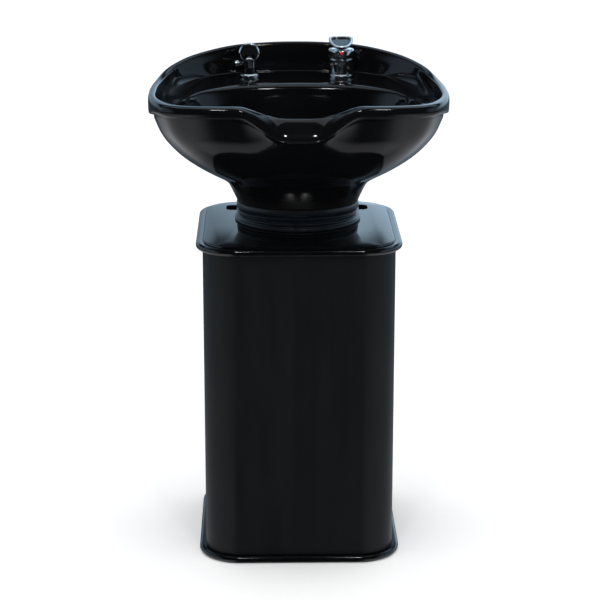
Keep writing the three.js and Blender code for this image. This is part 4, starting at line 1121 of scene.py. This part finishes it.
def make_lever():
    """The sloping handle with its tongue down into the turret and the barrel that it turns on."""
    corners = [(LEVER_RIM_WIDTH + 8, 0), (0, 0), (0, LEVER_THICKNESS), (LEVER_RIM_WIDTH, LEVER_THICKNESS),
               (LEVER_RIM_WIDTH, LEVER_FLOOR), (LEVER_RIM_WIDTH + 8, LEVER_FLOOR)]
    section = rounded(corners, 2.6, 6, False)
    rings = []
    tilt = math.atan(LEVER_SLOPE)
    for inset, height in section:
        ring = []
        for point in lever_outline(inset):
            y = point.y * math.cos(tilt) - height * math.sin(tilt)
            z = point.y * math.sin(tilt) + height * math.cos(tilt)
            ring.append((MIXER_X + point.x, FITTINGS_Y + y, LEVER_LOW_Z + z))
        rings.append(ring)
    lever = loft("lever_handle", rings, False)
    tongue_top = LEVER_LOW_Z - LEVER_SLOPE * (FITTINGS_Y - LEVER_PIVOT_Y) + 4
    tongue = prism("tongue", rounded_rect(9, 6, 1.5, 4), LEVER_PIVOT_Z, tongue_top,
                   (MIXER_X, LEVER_PIVOT_Y + 3))
    left = MIXER_X - 4.5
    right = MIXER_X + 4.5
    barrel = turned_solid("barrel", [(0, left), (4.5, left), (4.5, right), (0, right)],
                          (LEVER_PIVOT_Y, LEVER_PIVOT_Z), 0.5, 40, "x")
    carve(lever, [tongue, barrel], "UNION")
    finish_piece(lever, "chrome_trim", "lever", ["mixer_lever"], 40)


deck_flange("mixer_ring", 28, MIXER_X, ["mixer_base_ring"])
make_mixer_body()
make_turret()
make_lever()


# ---- hand spray ------------------------------------------------------------
GUIDE_TOP_Z = 961
STEM_RADIUS = 9.5
GRIP_RADIUS = 14.3
COLLAR_LOW_Z = 976
COLLAR_TOP_Z = 988
COLLAR_RADIUS = 17.5
SPRAY_SPOT = (SPRAY_X, FITTINGS_Y)
SPRAY_SHANK_BOTTOM_Z = 915
HEAD_Z = 992.5
HEAD_RADIUS = 22
HEAD_FRONT_Y = FITTINGS_Y - 13
HEAD_BACK_Y = FITTINGS_Y + 12
BUTTON_Y = FITTINGS_Y - 3
BUTTON_Z = GUIDE_TOP_Z + 9


def make_spray_guide():
    """The tube through the deck that the handset's stem stands in."""
    inner = STEM_RADIUS + 0.5
    low = SPRAY_SHANK_BOTTOM_Z
    shoulder = MIXER_BASE_TOP_Z + GAP
    guide = turned_ring("handset_holder", [
        (inner, low), (SHANK_RADIUS, low), (SHANK_RADIUS, shoulder),
        (17, shoulder), (15.2, GUIDE_TOP_Z - 3), (15, GUIDE_TOP_Z), (inner, GUIDE_TOP_Z),
    ], SPRAY_SPOT, 0.8)
    finish_piece(guide, "bowl_gloss_black", "bowl", ["spray_guide"], 35)


def make_handset_collar():
    """The stem and the scalloped collar over the guide."""
    low = HANDSET_BOTTOM_Z
    crown = GUIDE_TOP_Z + GAP
    collar = turned_solid("handset_collar", [
        (0, low), (STEM_RADIUS - 1, low), (STEM_RADIUS, low + 5), (STEM_RADIUS, crown),
        (GRIP_RADIUS, crown), (GRIP_RADIUS, COLLAR_LOW_Z), (COLLAR_RADIUS, COLLAR_LOW_Z + 2),
        (COLLAR_RADIUS, COLLAR_LOW_Z + 4), (COLLAR_RADIUS - 7, COLLAR_TOP_Z - 1.5), (0, COLLAR_TOP_Z),
    ], SPRAY_SPOT, 1.0, 120)
    flutes = []
    count = 10
    reach = COLLAR_RADIUS + 1.6
    for i in range(count):
        angle = TURN * (i + 0.5) / count
        centre = (SPRAY_X + reach * math.cos(angle), FITTINGS_Y + reach * math.sin(angle))
        flutes.append(prism("flute_cutter", circle(3.4, 28), COLLAR_LOW_Z - 1, COLLAR_TOP_Z + 1, centre))
    outer = SPRAY_X - 30
    pocket = turned_solid("pocket_cutter", [(0, outer), (3.5, outer), (3.5, SPRAY_X - 5), (0, SPRAY_X - 5)],
                          (BUTTON_Y, BUTTON_Z), 0.2, 32, "x")
    carve(collar, flutes + [pocket])
    finish_piece(collar, "chrome_trim", "handset", ["handset_stem"], 35)


def crown_way():
    """The room that the handset's head leaves for the collar."""
    outline = circle(COLLAR_RADIUS + 0.6, 64)
    return prism("crown_cutter", outline, GUIDE_TOP_Z - 1, COLLAR_TOP_Z + GAP, SPRAY_SPOT)


def make_handset_head():
    """The round head and the bright ring on its front."""
    centre = (SPRAY_X, HEAD_Z)
    radius = HEAD_RADIUS - 1.5
    drum = turned_solid("handset_body", [
        (0, HEAD_FRONT_Y + 2), (radius, HEAD_FRONT_Y + 2), (radius, HEAD_BACK_Y - 7),
        (radius - 4, HEAD_BACK_Y - 1.5), (0, HEAD_BACK_Y),
    ], centre, 3.5, 72, "y")
    carve(drum, [crown_way()])
    finish_piece(drum, "bowl_gloss_black", "handset", ["handset_head"], 40)
    ring = turned_ring("handset_bezel", [
        (HEAD_RADIUS - 4, HEAD_FRONT_Y + 1.7), (HEAD_RADIUS, HEAD_FRONT_Y + 1.7),
        (HEAD_RADIUS, HEAD_FRONT_Y - 0.5), (HEAD_RADIUS - 2.6, HEAD_FRONT_Y - 3),
        (HEAD_RADIUS - 4, HEAD_FRONT_Y - 2.4),
    ], centre, 0.7, 96, "y")
    carve(ring, [crown_way()])
    finish_piece(ring, "chrome_trim", "handset", ["handset_ring"], 40)


def make_handset_face():
    """The spray plate with rings of raised rubber nozzles."""
    centre = (SPRAY_X, HEAD_Z)
    front = HEAD_FRONT_Y - 1.5
    back = HEAD_FRONT_Y + 1.7
    radius = HEAD_RADIUS - 4.3
    plate_outline = [(0, front + 0.6), (radius, front + 0.6), (radius, back), (0, back)]
    disc = turned_solid("handset_plate", plate_outline, centre, 0.4, 72, "y")
    nozzles = []
    for count, reach in ((1, 0), (6, 4.6), (12, 9.2), (18, 13.8)):
        for i in range(count):
            angle = TURN * (i + 0.25) / count
            spot = (SPRAY_X + reach * math.cos(angle), HEAD_Z + reach * math.sin(angle))
            profile = [(0, front - 0.1), (0.7, front - 0.1), (1.1, front + 1), (0, front + 1)]
            nozzles.append(turned_solid("nozzle", profile, spot, 0.2, 12, "y"))
    carve(disc, nozzles, "UNION")
    carve(disc, [crown_way()])
    finish_piece(disc, "cabinet_satin_black", "handset", ["handset_face"], 40)


def make_flow_button():
    """The knob beside the stem, on a shaft into the grip."""
    outer = SPRAY_X - 31
    shoulder = SPRAY_X - 21
    inner = SPRAY_X - 10
    button = turned_solid("flow_knob", [
        (0, outer), (4.6, outer + 0.5), (6.2, outer + 2.5), (6.2, shoulder - 2), (5.2, shoulder),
        (3.2, shoulder), (3.2, inner), (0, inner),
    ], (BUTTON_Y, BUTTON_Z), 0.7, 48, "x")
    finish_piece(button, "chrome_trim", "flow_button", ["flow_button"], 40)


deck_flange("spray_ring", 23, SPRAY_X, ["spray_flange"])
make_spray_guide()
make_handset_collar()
make_handset_head()
make_handset_face()
make_flow_button()


# ---- carried-over inner parts ----------------------------------------------
def dress_inner_parts():
    """The inner parts keep their CAD shape, with softened edges and real materials."""
    slots = {row["node"]: row["material_slot"] for row in frame["record"]["subparts"]}
    for name, node in frame["nodes"].items():
        node.data.materials.clear()
        node.data.materials.append(MATERIALS[slots[name]])
        if node.hide_render:
            continue
        bevel = node.modifiers.new("soft_edges", "BEVEL")
        bevel.width = 0.0004
        bevel.segments = 2
        bevel.limit_method = "ANGLE"
        bevel.angle_limit = math.radians(40)


dress_inner_parts()


# ---- floor and light -------------------------------------------------------
def make_floor():
    """A pale floor that the glossy pieces don't mirror, because the world stands in for it there."""
    material, nodes, links, shader = new_material("floor")
    shade = noise(nodes, links, 0.8, 2.0)
    links.new(two_tone(nodes, links, shade, (0.94, 0.943, 0.946), (0.96, 0.962, 0.964)),
              shader.inputs["Base Color"])
    shader.inputs["Roughness"].default_value = 0.75
    shader.inputs["Specular IOR Level"].default_value = 0.15
    half = 20000
    floor = mesh_object("floor", [(-half, -half, 0), (half, -half, 0), (half, half, 0), (-half, half, 0)],
                        [(0, 1, 2, 3)])
    floor.data.materials.append(material)
    floor.visible_glossy = False


def background(nodes, colour):
    node = nodes.new("ShaderNodeBackground")
    node.inputs["Color"].default_value = colour
    return node


def make_world():
    """White as seen; mirrored, dark in front, with a bluish wall behind and pale floor at the sides.

    X, Y and Z below are the parts of the mirrored direction, from -1 to 1.
    """
    world = bpy.data.worlds.new("studio")
    bpy.context.scene.world = world
    world.use_nodes = True
    nodes = world.node_tree.nodes
    links = world.node_tree.links
    nodes.clear()
    direction = nodes.new("ShaderNodeTexCoord").outputs["Generated"]
    parts = axis_parts(nodes, links, direction)
    behind = ramp(nodes, links, parts["Y"], 0.03, 1.4, 0.1, 0.8)
    low_part = ramp(nodes, links, parts["Z"], 1.0, 0.05, 0.30, 0.42)
    high_part = ramp(nodes, links, parts["Z"], 0.0, 0.8, 0.52, 0.62)
    not_high = add(nodes, links, low_part, high_part)
    not_low = ramp(nodes, links, parts["Z"], 0.12, 1.0, -0.15, 0.05)
    to_right = ramp(nodes, links, parts["X"], 0.45, 1.0, -0.12, 0.12)
    band = multiply(nodes, links, multiply(nodes, links, behind, not_high),
                    multiply(nodes, links, not_low, to_right))
    off_centre = nodes.new("ShaderNodeMath")
    off_centre.operation = "ABSOLUTE"
    links.new(parts["X"], off_centre.inputs[0])
    sideways = ramp(nodes, links, off_centre.outputs["Value"], 0.02, 0.65, 0.10, 0.40)
    down = ramp(nodes, links, parts["Z"], 1.0, 0.0, -0.5, -0.2)
    below = ramp(nodes, links, parts["Z"], 0.4, 0.0, -0.99, -0.93)
    floor_part = add(nodes, links, multiply(nodes, links, sideways, down), below)
    far_side = ramp(nodes, links, off_centre.outputs["Value"], 0.0, 0.55, 0.72, 0.95)
    not_down = ramp(nodes, links, parts["Z"], 0.0, 1.0, -0.28, -0.1)
    wall_part = add(nodes, links, band, multiply(nodes, links, far_side, not_down))
    seen = background(nodes, (1.0, 1.0, 1.0, 1.0))
    seen.inputs["Strength"].default_value = 1.2
    wall = background(nodes, (0.58, 0.80, 1.0, 1.0))
    links.new(wall_part, wall.inputs["Strength"])
    ground = background(nodes, (0.95, 0.96, 1.0, 1.0))
    links.new(floor_part, ground.inputs["Strength"])
    mirrored = nodes.new("ShaderNodeAddShader")
    links.new(wall.outputs["Background"], mirrored.inputs[0])
    links.new(ground.outputs["Background"], mirrored.inputs[1])
    path = nodes.new("ShaderNodeLightPath")
    choose = nodes.new("ShaderNodeMixShader")
    links.new(path.outputs["Is Glossy Ray"], choose.inputs["Fac"])
    links.new(seen.outputs["Background"], choose.inputs[1])
    links.new(mirrored.outputs["Shader"], choose.inputs[2])
    output = nodes.new("ShaderNodeOutputWorld")
    links.new(choose.outputs["Shader"], output.inputs["Surface"])


def area_light(name, place, target, width, height, power, colour=(1.0, 1.0, 1.0)):
    data = bpy.data.lights.new(name, "AREA")
    data.shape = "RECTANGLE"
    data.size = width
    data.size_y = height
    data.energy = power
    data.color = colour
    light = bpy.data.objects.new(name, data)
    bpy.context.collection.objects.link(light)
    light.location = place
    direction = Vector(target) - Vector(place)
    light.rotation_euler = direction.to_track_quat("-Z", "Y").to_euler()


def make_lights():
    """Two small lamps in front, for the glints on the rim, and a dim panel overhead."""
    middle = (0.0, 0.0, 0.9)
    area_light("lamp_left", (-0.32, -1.6, 2.6), middle, 0.18, 0.18, 5.0)
    area_light("lamp_right", (0.40, -1.6, 2.6), middle, 0.18, 0.18, 5.0)
    area_light("overhead", (0.0, 0.3, 2.8), middle, 2.2, 1.2, 6.0, (0.85, 0.93, 1.0))


make_floor()
make_world()
make_lights()
bpy.context.scene.view_settings.view_transform = "Standard"
